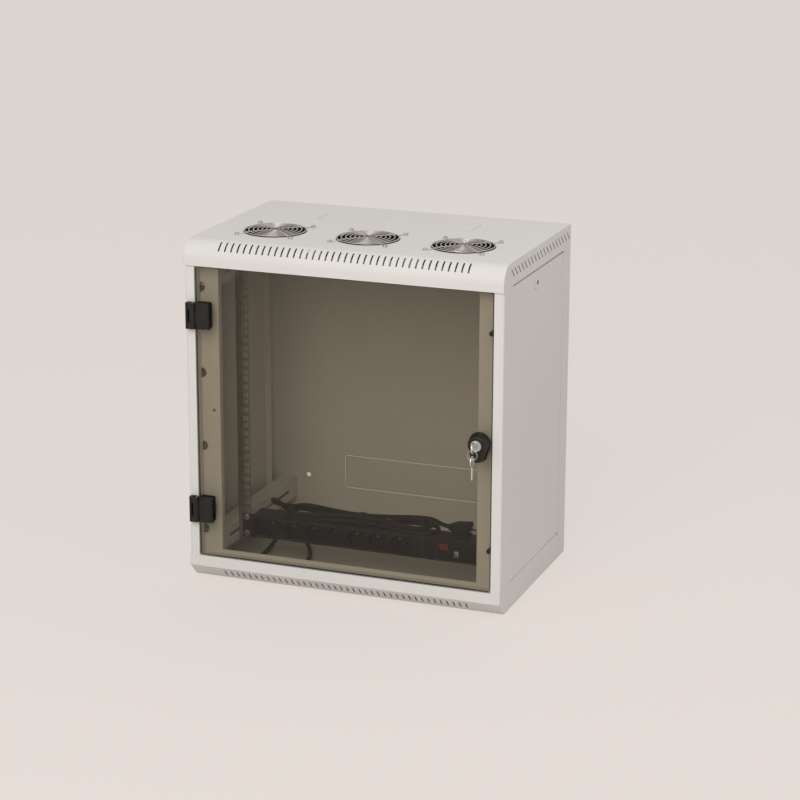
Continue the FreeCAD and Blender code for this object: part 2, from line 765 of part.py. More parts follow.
def make_side_panel(name, sign):
    body = new_body(f"side_panel_{name}")
    y_low = front + dim.post_side + dim.panel_gap
    y_high = back - dim.wing - dim.panel_gap
    z_low = seam_low + dim.tray_side_rise + dim.panel_gap
    z_high = seam_high + dim.panel_gap
    inner = half_width - dim.fold + dim.panel_gap
    low, high = across(sign, inner, half_width)
    add_pad(body, f"panel_block_{name}", "YZ", [rectangle(y_low, y_high, z_low, z_high)], low, high)
    wall = dim.sheet
    hollow = rectangle(y_low + wall, y_high - wall, z_low + wall, z_high - wall)
    low, high = across(sign, inner - wall, half_width - wall)
    cut_pocket(body, f"panel_hollow_{name}", "YZ", [hollow], low, high)
    low, high = across(sign, inner, half_width + wall)
    cut_pocket(body, f"panel_lock_hole_{name}", "YZ",
               [("circle", side_lock_y, side_lock_z, dim.side_lock_radius)], low, high)
    return keep(body, f"side_panel_{name}")


def make_side_lock(name, sign):
    """A round barrel through the panel; the plug inside it turns the cam."""
    flange = dim.cam_sheet / 2
    reach = dim.fold
    inner = half_width - dim.sheet - reach
    bore = dim.side_plug_radius + dim.plug_clearance
    low, high = across(sign, inner, half_width + flange)
    barrel = rod(f"side_barrel_{name}", "x", low, side_lock_y, side_lock_z,
                 dim.side_lock_radius, high - low)
    rim_low, rim_high = across(sign, half_width, half_width + flange)
    rim = rod(f"side_rim_{name}", "x", rim_low, side_lock_y, side_lock_z,
              dim.side_lock_flange, rim_high - rim_low)
    hole = rod(f"side_bore_{name}", "x", low - 1, side_lock_y, side_lock_z, bore, high - low + 2)
    keep(cut(f"side_lock_{name}", fuse(f"side_lock_solid_{name}", barrel, rim), hole),
         f"side_lock_{name}")
    plug_low, plug_high = across(sign, inner - dim.free_gap, half_width + flange)
    plug = rod(f"side_plug_{name}", "x", plug_low, side_lock_y, side_lock_z,
               dim.side_plug_radius, plug_high - plug_low)
    slot_low, slot_high = across(sign, half_width - flange, half_width + flange + 1)
    slot = box(f"side_key_slot_{name}", (slot_low, slot_high),
               (side_lock_y - 1, side_lock_y + 1),
               (side_lock_z - dim.side_plug_radius * 0.6, side_lock_z + dim.side_plug_radius * 0.6))
    # The cam lies level, pointing back, so that the panel is free; a quarter turn lifts it.
    cam_low, cam_high = across(sign, inner - dim.free_gap - dim.cam_sheet, inner - dim.free_gap)
    cam = box(f"side_cam_{name}", (cam_low, cam_high),
              (side_lock_y - dim.cam_width / 2, side_lock_y + dim.cam_length),
              (side_lock_z - dim.cam_width / 2, side_lock_z + dim.cam_width / 2))
    keep(fuse(f"side_lock_cam_{name}", cut(f"side_plug_cut_{name}", plug, slot), cam),
         f"side_lock_cam_{name}")


# -------------------------------------------------------------- rack rails

rail_y = front + dim.rail_back
rail_half = dim.rack_hole_half + dim.rail_edge
rail_bolt_y = rail_y + dim.rail_leg * 0.6
bracket_front = front + dim.recess + dim.sheet
bracket_back = back - dim.sheet
rail_low = seam_low + dim.sheet
rail_high = seam_high - dim.sheet


def make_rail(name, sign):
    body = new_body(f"rack_rail_{name}")
    path = [
        ((rail_half - dim.rail_face) * sign, rail_y),
        (rail_half * sign, rail_y),
        (rail_half * sign, rail_y + dim.rail_leg),
    ]
    if sign < 0:
        path.reverse()
    add_pad(body, f"rail_skin_{name}", "XY", [folded_strip(path, dim.rail_sheet)],
            rail_low, rail_high)
    half = dim.rack_hole / 2
    x = dim.rack_hole_half * sign
    holes = []
    for share in (1 / 7, 0.5, 6 / 7):
        z = dim.rail_start + dim.unit * share
        holes.append(rectangle(x - half, x + half, z - half, z + half))
    unit_holes = cut_pocket(body, f"unit_holes_{name}", "XZ", holes,
                            rail_y - dim.rail_sheet, rail_y + dim.rail_sheet * 2)
    repeat(body, unit_holes, "V_Axis", dim.unit * (dim.units - 1), dim.units)
    bolt_holes = [("circle", rail_bolt_y, (low + high) / 2, dim.bolt_shank + dim.free_gap)
                  for _, low, high in bracket_levels()]
    leg_low, leg_high = across(sign, rail_half - dim.rail_sheet * 2, rail_half + 1)
    cut_pocket(body, f"bolt_holes_{name}", "YZ", bolt_holes, leg_low, leg_high)
    return keep(body, f"rack_rail_{name}")


def bracket_levels():
    """The (low, high) pair of the depth bracket webs, lower and upper."""
    return (("lower", rail_low, rail_low + dim.bracket_tall),
            ("upper", rail_high - dim.bracket_tall, rail_high))


def make_bracket(name, sign, level, low, high):
    """A channel from post to rear panel; the rails bolt to its web."""
    body = new_body(f"depth_bracket_{name}_{level}")
    reach = half_width - dim.fold - dim.bracket_gap
    path = [
        (reach * sign, high), (rail_half * sign, high),
        (rail_half * sign, low), (reach * sign, low),
    ]
    if sign < 0:
        path.reverse()
    add_pad(body, f"bracket_skin_{name}_{level}", "XZ", [folded_strip(path, dim.rail_sheet)],
            bracket_front, bracket_back)
    # Slots let the rails be set forward or back.
    slot_half = dim.bolt_shank + dim.free_gap
    z = (low + high) / 2
    first = bracket_front + dim.bracket_tall
    slot = rectangle(first, bracket_back - dim.bracket_tall, z - slot_half, z + slot_half)
    web_low, web_high = across(sign, rail_half - 1, rail_half + dim.rail_sheet + 1)
    cut_pocket(body, f"bracket_slot_{name}_{level}", "YZ", [slot], web_low, web_high)
    return keep(body, f"depth_bracket_{name}_{level}")


def make_rail_bolts():
    bolts = []
    for name, sign in SIDES:
        for level, low, high in bracket_levels():
            y = rail_bolt_y
            z = (low + high) / 2
            inner = rail_half - dim.rail_sheet
            outer = rail_half + dim.rail_sheet
            tag = f"{name}_{level}"
            shank_low, shank_high = across(sign, inner - dim.rail_sheet, outer + dim.rail_sheet)
            head_low, head_high = across(sign, inner - dim.rail_sheet * 2, inner)
            nut_low, nut_high = across(sign, outer, outer + dim.rail_sheet * 2)
            bolts.append(fuse(
                f"rail_bolt_{tag}",
                rod(f"rail_shank_{tag}", "x", shank_low, y, z, dim.bolt_shank,
                    shank_high - shank_low),
                rod(f"rail_head_{tag}", "x", head_low, y, z, dim.bolt_head, head_high - head_low),
                rod(f"rail_nut_{tag}", "x", nut_low, y, z, dim.bolt_head, nut_high - nut_low)))
    return keep(group("rail_bolts", bolts), "rail_bolts")


# -------------------------------------------------------------------- fans

fan_top = dim.height - dim.sheet
fan_low = fan_top - dim.fan_thick
strut_tall = dim.fan_thick * 0.2


def make_fan_frame(name, x):
    """A square moulded frame with a round duct, struts and the motor plate below."""
    body = new_body(f"fan_frame_{name}")
    half = dim.fan_side / 2
    corner = dim.fan_corner
    square = [(x - half, fan_y - half, corner), (x + half, fan_y - half, corner),
              (x + half, fan_y + half, corner), (x - half, fan_y + half, corner)]
    add_pad(body, f"frame_block_{name}", "XY", [square], fan_low, fan_top)
    cut_pocket(body, f"duct_{name}", "XY", [("circle", x, fan_y, dim.fan_bore)],
               fan_low - 1, fan_top + 1)
    strut = dim.strut_width / 2
    reach = dim.fan_bore + 1
    for tag, outline in (
            ("wide", rectangle(x - reach, x + reach, fan_y - strut, fan_y + strut)),
            ("deep", rectangle(x - strut, x + strut, fan_y - reach, fan_y + reach)),
            ("plate", ("circle", x, fan_y, dim.motor_radius))):
        add_pad(body, f"motor_{tag}_{name}", "XY", [outline], fan_low, fan_low + strut_tall)
    holes = [("circle", x, fan_y, dim.shaft_radius + dim.plug_clearance)]
    for u, v in bolt_corners(x, fan_y, fan_bolt_half):
        holes.append(("circle", u, v, dim.fan_screw_radius + dim.fan_screw_slack))
    cut_pocket(body, f"frame_holes_{name}", "XY", holes, fan_low - 1, fan_top + 1)
    return keep(body, f"fan_frame_{name}")


def blade_section(radius, low, high, sweep):
    """One end of a blade: a thin slanted section across a radius line."""
    half_chord = radius * math.sin(math.radians(sweep))
    thick = number(dim.blade_sheet) / 2
    corners = ((-half_chord, low - thick), (-half_chord, low + thick),
               (half_chord, high + thick), (half_chord, high - thick))
    points = [Vector(radius, across_radius, z) for across_radius, z in corners]
    return Part.makePolygon(points + points[:1])


def make_fan_rotor(name, x):
    """A cup hub with pitched blades, lofted from hub to tip, on its shaft."""
    hub_low = number(fan_low + strut_tall + dim.rotor_gap)
    hub_high = number(fan_top - dim.rotor_gap)
    hub = number(dim.hub_radius)
    tip = number(dim.fan_bore - dim.rotor_gap)
    rise = hub_high - hub_low
    solid = Part.makeCylinder(hub, rise, Vector(0, 0, hub_low))
    blade = Part.makeLoft([
        blade_section(hub - 2, hub_low + rise * 0.12, hub_high - rise * 0.12, 21),
        blade_section(tip - 1, hub_low + rise * 0.28, hub_high - rise * 0.2, 20),
    ], True, True)
    blade = blade.common(Part.makeCylinder(tip, rise, Vector(0, 0, hub_low)))
    count = round(number(dim.blade_count))
    blades = []
    for turn in range(count):
        copy = blade.copy()
        copy.rotate(Vector(), Vector(0, 0, 1), 360 / count * turn)
        blades.append(copy)
    shaft = Part.makeCylinder(number(dim.shaft_radius), hub_low - number(fan_low) + 1,
                              Vector(0, 0, number(fan_low)))
    feature = document.addObject("Part::Feature", f"fan_rotor_{name}")
    feature.Shape = solid.fuse(blades + [shaft]).removeSplitter()
    place(feature, x, fan_y, 0)
    return keep(feature, f"fan_rotor_{name}")


def polygon_ring(radius, wire, low, sides):
    """A closed ring of straight wire lengths."""
    shapes = []
    for reach in (radius - wire / 2, radius + wire / 2):
        points = [Vector(reach * math.cos(2 * math.pi * index / sides),
                         reach * math.sin(2 * math.pi * index / sides), low)
                  for index in range(sides + 1)]
        shapes.append(Part.Face(Part.makePolygon(points)).extrude(Vector(0, 0, wire)))
    return shapes[1].cut(shapes[0])


def make_finger_guard(name, x):
    """Concentric wire rings on four arms; each arm ends in an eyelet under a screw."""
    wire = number(dim.guard_wire)
    roof = number(dim.height)
    arm_low = roof + number(dim.guard_rise) - wire
    bolt = math.hypot(number(fan_bolt_half), number(fan_bolt_half))
    eyelet = number(dim.eyelet_radius)
    pieces = []
    for index in range(1, round(number(dim.guard_rings)) + 1):
        radius = number(dim.guard_pitch) * index
        pieces.append(polygon_ring(radius, wire, arm_low + wire * 0.7, 12 if index < 4 else 20))
    outer = number(dim.guard_pitch * dim.guard_rings)
    inner = number(dim.guard_pitch)
    hole = number(dim.fan_screw_radius + dim.fan_screw_slack)
    for turn in range(4):
        arm = Part.makeBox(outer - inner + wire, wire, wire, Vector(inner - wire / 2, -wire / 2, arm_low))
        leg = Part.makeBox(wire, wire, arm_low + wire - roof,
                           Vector(outer + wire / 2, -wire / 2, roof))
        foot = Part.makeBox(bolt - eyelet - outer + wire, wire, wire,
                            Vector(outer + wire / 2, -wire / 2, roof))
        loop = Part.makeCylinder(eyelet, wire, Vector(bolt, 0, roof))
        loop = loop.cut(Part.makeCylinder(hole, wire, Vector(bolt, 0, roof)))
        for piece in (arm, leg, foot, loop):
            piece.rotate(Vector(), Vector(0, 0, 1), 45 + 90 * turn)
            pieces.append(piece)
    feature = document.addObject("Part::Feature", f"finger_guard_{name}")
    feature.Shape = pieces[0].fuse(pieces[1:]).removeSplitter()
    place(feature, x, fan_y, 0)
    return keep(feature, f"finger_guard_{name}")


def make_fan_screws():
    screws = []
    for name, x in fan_positions:
        for index, (u, v) in enumerate(bolt_corners(x, fan_y, fan_bolt_half)):
            top = dim.height + dim.guard_wire
            tag = f"{name}_{index}"
            shank = rod(f"fan_screw_shank_{tag}", "z", u, v, fan_low + dim.fan_corner,
                        dim.fan_screw_radius, top - fan_low - dim.fan_corner)
            head = rod(f"fan_screw_head_{tag}", "z", u, v, top, dim.fan_screw_head,
                       dim.fan_screw_radius)
            screws.append(fuse(f"fan_screw_{tag}", shank, head))
    return keep(group("fan_screws", screws), "fan_screws")


# -------------------------------------------------------------------- door

glass_left = -opening_half + dim.door_gap
glass_right = opening_half - dim.door_gap
glass_back = front + dim.glass
hinge_x = -opening_half - dim.hinge_axis_out
hinge_y = front - dim.hinge_axis_front


def hinge_centre(sign):
    return middle + dim.hinge_offset * sign


def make_glass():
    body = new_body("door_glass")
    corner = dim.glass_corner
    low = seam_low + dim.door_gap
    high = seam_high - dim.door_gap
    outline = [(glass_left, low, corner), (glass_right, low, corner),
               (glass_right, high, corner), (glass_left, high, corner)]
    add_pad(body, "glass_sheet", "XZ", [outline], front, glass_back)
    holes = [("circle", lock_x, lock_z, dim.barrel_radius + dim.free_gap)]
    for _, sign in LEVELS:
        for z in clamp_heights(sign):
            holes.append(("circle", clamp_x, z, dim.clamp_screw_radius + dim.free_gap))
    cut_pocket(body, "glass_holes", "XZ", holes, front - 1, glass_back + 1)
    return keep(body, "door_glass")


clamp_x = -opening_half + dim.glass_leaf_reach * 0.6


def clamp_heights(sign):
    centre = hinge_centre(sign)
    return (centre - dim.hinge_tall / 4, centre + dim.hinge_tall / 4)


def make_post_leaf(name, sign):
    """The fixed half of a hinge: a ribbed pad on the post with two knuckles."""
    body = new_body(f"hinge_post_leaf_{name}")
    centre = hinge_centre(sign)
    low = centre - dim.hinge_tall / 2
    high = centre + dim.hinge_tall / 2
    outer = -opening_half - dim.leaf_outer
    face = front - dim.leaf_front
    add_pad(body, f"leaf_pad_{name}", "XY",
            [[(outer, front), (outer, face, dim.post_corner), (hinge_x, face), (hinge_x, front)]],
            low, high)
    knuckle = [("circle", hinge_x, hinge_y, dim.knuckle_radius)]
    add_pad(body, f"leaf_knuckle_{name}", "XY", [knuckle[0]], low, high)
    # Grip ribs run up the outer edge of the pad.
    rib = [("circle", outer, face + dim.leaf_front / 2, dim.sheet / 2)]
    cut_pocket(body, f"leaf_rib_{name}", "XY", rib, low, high)
    relief = [("circle", hinge_x, hinge_y, dim.knuckle_radius + 1)]
    cut_pocket(body, f"leaf_relief_{name}", "XY", relief,
               low + dim.knuckle_tall, high - dim.knuckle_tall)
    side = rectangle(hinge_x, hinge_x + dim.knuckle_radius + 1, face - 1, front + 1)
    cut_pocket(body, f"leaf_side_{name}", "XY", [side],
               low + dim.knuckle_tall, high - dim.knuckle_tall)
    cut_pocket(body, f"leaf_bore_{name}", "XY",
               [("circle", hinge_x, hinge_y, dim.hinge_pin_radius)], low, high)
    return keep(body, f"hinge_post_leaf_{name}")


def make_glass_leaf(name, sign):
    """The moving half: a rounded pad on the glass with the middle knuckle."""
    body = new_body(f"hinge_glass_leaf_{name}")
    centre = hinge_centre(sign)
    low = centre - dim.hinge_tall / 2
    high = centre + dim.hinge_tall / 2
    near = hinge_x + dim.knuckle_radius + dim.free_gap
    far = -opening_half + dim.glass_leaf_reach
    face = front - dim.glass_leaf
    add_pad(body, f"pad_block_{name}", "XY",
            [[(near, front), (near, face, dim.leaf_edge), (far, face, dim.post_corner),
              (far, front)]], low, high)
    inner_low = low + dim.knuckle_tall + dim.free_gap
    inner_high = high - dim.knuckle_tall - dim.free_gap
    add_pad(body, f"pad_knuckle_{name}", "XY",
            [("circle", hinge_x, hinge_y, dim.knuckle_radius)], inner_low, inner_high)
    web = rectangle(hinge_x, near + 1, hinge_y + 1, hinge_y + dim.knuckle_radius)
    add_pad(body, f"pad_web_{name}", "XY", [web], inner_low, inner_high)
    cut_pocket(body, f"pad_bore_{name}", "XY",
               [("circle", hinge_x, hinge_y, dim.hinge_pin_radius + dim.plug_clearance)], low, high)
    return keep(body, f"hinge_glass_leaf_{name}")


def make_clamp_plate(name, sign):
    centre = hinge_centre(sign)
    body = new_body(f"hinge_clamp_{name}")
    corner = dim.post_corner
    far = -opening_half + dim.glass_leaf_reach
    low = centre - dim.hinge_tall / 2
    high = centre + dim.hinge_tall / 2
    outline = [(glass_left, low, corner), (far, low, corner), (far, high, corner),
               (glass_left, high, corner)]
    add_pad(body, f"clamp_block_{name}", "XZ", [outline], glass_back, glass_back + dim.clamp_plate)
    holes = [("circle", clamp_x, z, dim.clamp_screw_radius + dim.free_gap)
             for z in clamp_heights(sign)]
    cut_pocket(body, f"clamp_holes_{name}", "XZ", holes,
               glass_back - 1, glass_back + dim.clamp_plate + 1)
    return keep(body, f"hinge_clamp_{name}")


def make_hinge_pins():
    pins = []
    for name, sign in LEVELS:
        low = hinge_centre(sign) - dim.hinge_tall / 2
        pins.append(rod(f"hinge_pin_{name}", "z", hinge_x, hinge_y, low,
                        dim.hinge_pin_radius, dim.hinge_tall))
    return keep(group("hinge_pins", pins), "hinge_pins")


def make_clamp_screws():
    screws = []
    for name, sign in LEVELS:
        for index, z in enumerate(clamp_heights(sign)):
            tag = f"{name}_{index}"
            plate_back = glass_back + dim.clamp_plate
            shank = rod(f"clamp_shank_{tag}", "y", clamp_x, front, z,
                        dim.clamp_screw_radius, plate_back - front)
            head = rod(f"clamp_head_{tag}", "y", clamp_x, plate_back, z,
                       dim.clamp_screw_radius * 2, dim.clamp_screw_radius)
            screws.append(fuse(f"clamp_screw_{tag}", shank, head))
    return keep(group("clamp_screws", screws), "clamp_screws")


def make_buffers():
    """Rubber pillars on the post flange; the glass closes against them."""
    pillars = []
    for name, sign in LEVELS:
        start = glass_back + dim.free_gap
        pillars.append(rod(f"buffer_{name}", "y", opening_half - dim.buffer_in, start,
                           middle + dim.buffer_offset * sign, dim.buffer_radius,
                           front + dim.recess - start))
    return keep(group("door_buffers", pillars), "door_buffers")


# --------------------------------------------------------------- door lock

def draw_teardrop(body, name, offset, radius, lobe_radius):
    """A big circle over a small one, joined by their two tangents."""
    sketch = new_sketch(body, name, "XZ", offset, [])
    upper = (lock_x, lock_z, radius)
    lower = (lock_x, lock_z - dim.lock_lobe_drop, lobe_radius)
    lean = math.asin((number(radius) - number(lobe_radius)) / number(dim.lock_lobe_drop))
    side_u = math.cos(lean)
    side_v = math.sin(lean)
    ends = {}
    for key, (u, v, reach) in (("upper", upper), ("lower", lower)):
        ends[key] = [(u + reach * (side_u * sign), v - reach * side_v) for sign in (1, -1)]
    arcs = {}
    tilt = math.atan2(-side_v, side_u)
    for key, (u, v, reach), start, stop in (
            ("upper", upper, tilt, math.pi - tilt),
            ("lower", lower, math.pi - tilt, 2 * math.pi + tilt)):
        circle = Part.Circle(Vector(number(u), number(v), 0), Vector(0, 0, 1), number(reach))
        arcs[key] = sketch.addGeometry(Part.ArcOfCircle(circle, start, stop), False)
        constraint = sketch.addConstraint(Sketcher.Constraint("Radius", arcs[key], number(reach)))
        sketch.setExpression(f"Constraints[{constraint}]", reach.formula)
    for index, (upper_end, lower_end) in enumerate(((1, 2), (2, 1))):
        high, low = ends["upper"][index], ends["lower"][index]
        line = sketch.addGeometry(Part.LineSegment(
            Vector(number(high[0]), number(high[1]), 0),
            Vector(number(low[0]), number(low[1]), 0)), False)
        pin_point(sketch, line, 1, high)
        pin_point(sketch, line, 2, low)
        sketch.addConstraint(Sketcher.Constraint("Coincident", line, 1, arcs["upper"], upper_end))
        sketch.addConstraint(Sketcher.Constraint("Coincident", line, 2, arcs["lower"], lower_end))
    return sketch


def make_lock_housing():
    """A moulded teardrop housing that narrows towards its face."""
    body = new_body("lock_housing")
    base = draw_teardrop(body, "housing_base", -front, dim.lock_base_radius, dim.lock_lobe_base)
    face = draw_teardrop(body, "housing_face", dim.lock_out - front,
                         dim.lock_face_radius, dim.lock_lobe_face)
    loft = body.newObject("PartDesign::AdditiveLoft", "housing_block")
    loft.Profile = base
    loft.Sections = [face]
    document.recompute()
    cut_pocket(body, "housing_bore", "XZ",
               [("circle", lock_x, lock_z, dim.barrel_radius)],
               front - dim.lock_out - 1, front + 1)
    return keep(body, "lock_housing")


barrel_front = front - dim.lock_out - dim.barrel_proud
barrel_back = glass_back + dim.barrel_back
keyway_end = barrel_front + dim.key_blade_long / 2


def make_lock_barrel():
    tube = rod("barrel_tube", "y", lock_x, barrel_front, lock_z, dim.barrel_radius,
               barrel_back - barrel_front)
    bore = rod("barrel_bore", "y", lock_x, barrel_front - 1, lock_z,
               dim.plug_radius + dim.plug_clearance, barrel_back - barrel_front + 2)
    keep(cut("lock_barrel", tube, bore), "lock_barrel")
    plate = rod("backplate_disc", "y", lock_x, glass_back, lock_z, dim.backplate_radius,
                dim.backplate)
    hole = rod("backplate_hole", "y", lock_x, glass_back - 1, lock_z, dim.barrel_radius,
               dim.backplate + 2)
    keep(cut("lock_backplate", plate, hole), "lock_backplate")


def make_lock_plug():
    """The plug that the key turns, with a square tail for the cam."""
    tail = dim.plug_radius * 0.7
    barrel = rod("plug_barrel", "y", lock_x, barrel_front, lock_z, dim.plug_radius,
                 barrel_back + dim.free_gap - barrel_front)
    keyway = box("plug_keyway", (lock_x - dim.key_sheet / 2, lock_x + dim.key_sheet / 2),
                 (barrel_front - 1, keyway_end),
                 (lock_z - dim.key_blade / 2, lock_z + dim.key_blade / 2))
    stud = box("plug_stud", (lock_x - tail / 2, lock_x + tail / 2),
               (barrel_back, cam_back + dim.cam_sheet / 2),
               (lock_z - tail / 2, lock_z + tail / 2))
    keep(fuse("lock_plug", cut("plug_cut", barrel, keyway), stud), "lock_plug")
    # The cam hangs straight down, clear of the post, so that the door is free to open.
    plate = box("cam_plate", (lock_x - dim.cam_width / 2, lock_x + dim.cam_width / 2),
                (cam_low, cam_back),
                (lock_z - dim.door_cam_length, lock_z + dim.cam_width / 2))
    hole = box("cam_hole", (lock_x - tail / 2, lock_x + tail / 2), (cam_low - 1, cam_back + 1),
               (lock_z - tail / 2, lock_z + tail / 2))
    keep(cut("lock_cam", plate, hole), "lock_cam")



key_y = barrel_front - dim.key_stem - dim.key_bow
key_eye_out = dim.key_bow * 0.45
eye_y = key_y - key_eye_out
ring_z = lock_z - dim.key_eye + dim.ring_wire + dim.free_gap - dim.ring_radius
spare_eye_z = ring_z - dim.ring_radius - dim.ring_wire - dim.free_gap / 2 + dim.key_eye


def make_key(name, bow_place, blade_y, blade_z, eye_place):
    """A flat key, thin along X: a round bow with an eye, and a blade."""
    thin = dim.key_sheet / 2
    bow = rod(f"{name}_bow", "x", lock_x - thin, *bow_place, dim.key_bow, dim.key_sheet)
    blade = box(f"{name}_blade", (lock_x - thin, lock_x + thin), blade_y, blade_z)
    eye = rod(f"{name}_eye", "x", lock_x - thin - 1, *eye_place, dim.key_eye, dim.key_sheet + 2)
    return keep(cut(name, fuse(f"{name}_solid", bow, blade), eye), name)


def make_keys():
    """One key in the lock, a ring through its eye, and a spare key on the ring."""
    half = dim.key_blade / 2
    make_key("key", (key_y, lock_z), (key_y, keyway_end - dim.free_gap),
             (lock_z - half, lock_z + half), (eye_y, lock_z))
    ring = document.addObject("Part::Torus", "key_ring")
    ring.setExpression("Radius1", dim.ring_radius.formula)
    ring.setExpression("Radius2", dim.ring_wire.formula)
    ring.Placement.Rotation = TURNS["y"]
    place(ring, lock_x, eye_y, ring_z)
    keep(ring, "key_ring")
    spare_z = spare_eye_z - key_eye_out
    make_key("spare_key", (eye_y, spare_z), (eye_y - half, eye_y + half),
             (spare_z - dim.key_bow - dim.key_blade_long, spare_z), (eye_y, spare_eye_z))


# ------------------------------------------------------------ socket strip

strip_face = rail_y - dim.strip_proud
strip_z = dim.rail_start + dim.unit / 2
strip_low = strip_z - dim.strip_tall / 2
strip_high = strip_z + dim.strip_tall / 2
strip_back = strip_face + dim.strip_deep
strip_half = dim.rack_hole_half - dim.ear_room
ear_half = dim.rack_hole_half + dim.ear_edge
socket_first = -strip_half + dim.socket_inset
switch_x = strip_half - dim.switch_inset


def make_strip_channel():
    """An extruded channel, open to the front between two lips."""
    body = new_body("strip_channel")
    bevel = dim.strip_bevel
    path = [
        (strip_face, strip_low + bevel + dim.strip_lip),
        (strip_face, strip_low + bevel),
        (strip_face + bevel, strip_low),
        (strip_back, strip_low), (strip_back, strip_high),
        (strip_face + bevel, strip_high),
        (strip_face, strip_high - bevel),
        (strip_face, strip_high - bevel - dim.strip_lip),
    ]
    add_pad(body, "channel_skin", "YZ", [folded_strip(path, dim.strip_wall)],
            -strip_half, strip_half)
    return keep(body, "strip_channel")


insert_face = strip_face + dim.strip_wall
insert_low = strip_low + dim.strip_wall
insert_high = strip_high - dim.strip_wall
insert_back = strip_back - dim.strip_wall
switch_z = strip_z + dim.switch_up


def insert_profile():
    """What fills the channel: it follows the bevels with the channel's own wall."""
    corner = dim.strip_bevel
    return [
        (insert_face, strip_low + corner + dim.strip_wall),
        (insert_face + corner, insert_low), (insert_back, insert_low),
        (insert_back, insert_high), (insert_face + corner, insert_high),
        (insert_face, strip_high - corner - dim.strip_wall),
    ]


def socket_x(index):
    return socket_first + dim.socket_pitch * index


def socket_count():
    return round(number(dim.socket_count))


def make_sockets():
    """One moulding per socket, and one with the switch window at the right end."""
    modules = []
    for index in range(socket_count()):
        body = new_body(f"socket_{index}")
        x = socket_x(index)
        half = dim.socket_pitch / 2
        add_pad(body, f"socket_block_{index}", "YZ", [insert_profile()], x - half, x + half)
        cut_pocket(body, f"socket_recess_{index}", "XZ",
                   [("circle", x, strip_z, dim.socket_radius)],
                   insert_face - 1, insert_face + dim.socket_deep)
        holes = [("circle", x + dim.contact_half * sign, strip_z, dim.contact_radius)
                 for sign in (-1, 1)]
        cut_pocket(body, f"socket_contacts_{index}", "XZ", holes,
                   insert_face, insert_back - dim.strip_bevel)
        modules.append(body)
    body = new_body("switch_module")
    low = socket_x(socket_count()) - dim.socket_pitch / 2
    add_pad(body, "switch_block", "YZ", [insert_profile()], low, strip_half)
    window = rectangle(switch_x - dim.rocker_half - 1, switch_x + dim.rocker_half + 1,
                       switch_z - dim.rocker_tall / 2 - dim.free_gap,
                       switch_z + dim.rocker_tall / 2 + dim.free_gap)
    cut_pocket(body, "switch_window", "XZ", [window], insert_face - 1, insert_face + dim.socket_deep)
    modules.append(body)
    return keep(group("strip_sockets", modules), "strip_sockets")


def make_earth_pins():
    pins = []
    for index in range(socket_count()):
        pins.append(rod(f"earth_pin_{index}", "y", socket_x(index), insert_face + 1,
                        strip_z + dim.earth_up, dim.earth_radius, dim.socket_deep - 1))
    return keep(group("earth_pins", pins), "earth_pins")


rocker_y = insert_face + 3


def make_rocker():
    """A shallow V on a cross pin; one end is pressed in."""
    body = new_body("strip_rocker")
    half = number(dim.rocker_half)
    angle = math.radians(number(dim.rocker_tilt))
    edge = number(dim.rocker_edge)
    dip = number(dim.rocker_dip)
    foot = number(dim.rocker_foot)
    outline = []
    for u, out in ((-half, -edge), (0, -dip), (half, -edge), (foot, dip), (-foot, dip)):
        outline.append((switch_x + (u * math.cos(angle) + out * math.sin(angle)),
                        rocker_y + (out * math.cos(angle) - u * math.sin(angle))))
    add_pad(body, "rocker_block", "XY", [outline],
            switch_z - dim.rocker_tall / 2, switch_z + dim.rocker_tall / 2)
    return keep(body, "strip_rocker")


def make_strip_ends():
    """A cap closes each end and carries the ear that screws to the rail."""
    ends = []
    for name, sign in SIDES:
        body = new_body(f"strip_end_{name}")
        cap_low, cap_high = across(sign, strip_half, strip_half + dim.ear_sheet)
        cap = [(strip_face, strip_low), (strip_back, strip_low), (strip_back, strip_high),
               (strip_face, strip_high)]
        add_pad(body, f"end_cap_{name}", "YZ", [cap], cap_low, cap_high)
        ear_low, ear_high = across(sign, strip_half, ear_half)
        add_pad(body, f"end_ear_{name}", "XZ",
                [rectangle(ear_low, ear_high, strip_low, strip_high)],
                rail_y - dim.ear_sheet, rail_y)
        holes = [("circle", dim.rack_hole_half * sign, z, dim.rack_screw_radius + dim.free_gap)
                 for z in ear_hole_heights()]
        cut_pocket(body, f"ear_holes_{name}", "XZ", holes, rail_y - dim.ear_sheet - 1, rail_y + 1)
        ends.append(body)
    return keep(group("strip_ends", ends), "strip_ends")


def ear_hole_heights():
    return (dim.rail_start + dim.unit / 7, dim.rail_start + dim.unit * (6 / 7))


def make_rack_screws():
    screws = []
    nuts = []
    for name, sign in SIDES:
        for index, z in enumerate(ear_hole_heights()):
            x = dim.rack_hole_half * sign
            tag = f"{name}_{index}"
            face = rail_y - dim.ear_sheet
            long = dim.cage_nut + dim.ear_sheet
            shank = rod(f"rack_shank_{tag}", "y", x, face, z, dim.rack_screw_radius, long)
            head = rod(f"rack_head_{tag}", "y", x, face - dim.rack_screw_radius, z,
                       dim.rack_screw_head, dim.rack_screw_radius)
            screws.append(fuse(f"rack_screw_{tag}", shank, head))
            half = dim.cage_nut / 2
            nut_low = rail_y + dim.rail_sheet
            nut = box(f"nut_block_{tag}", (x - half, x + half),
                      (nut_low, nut_low + half), (z - half, z + half))
            hole = rod(f"nut_hole_{tag}", "y", x, nut_low - 1, z, dim.rack_screw_radius, half + 2)
            nuts.append(cut(f"cage_nut_{tag}", nut, hole))
    keep(group("rack_screws", screws), "rack_screws")
    keep(group("cage_nuts", nuts), "cage_nuts")


# -------------------------------------------------------------- mains lead

gland_x = -strip_half + dim.gland_inset
hank_left = -strip_half + dim.hank_left_inset
hank_right = strip_half - dim.hank_right_inset
plug_start = strip_half - dim.plug_inset


def gland_tip():
    return strip_back + dim.gland_long


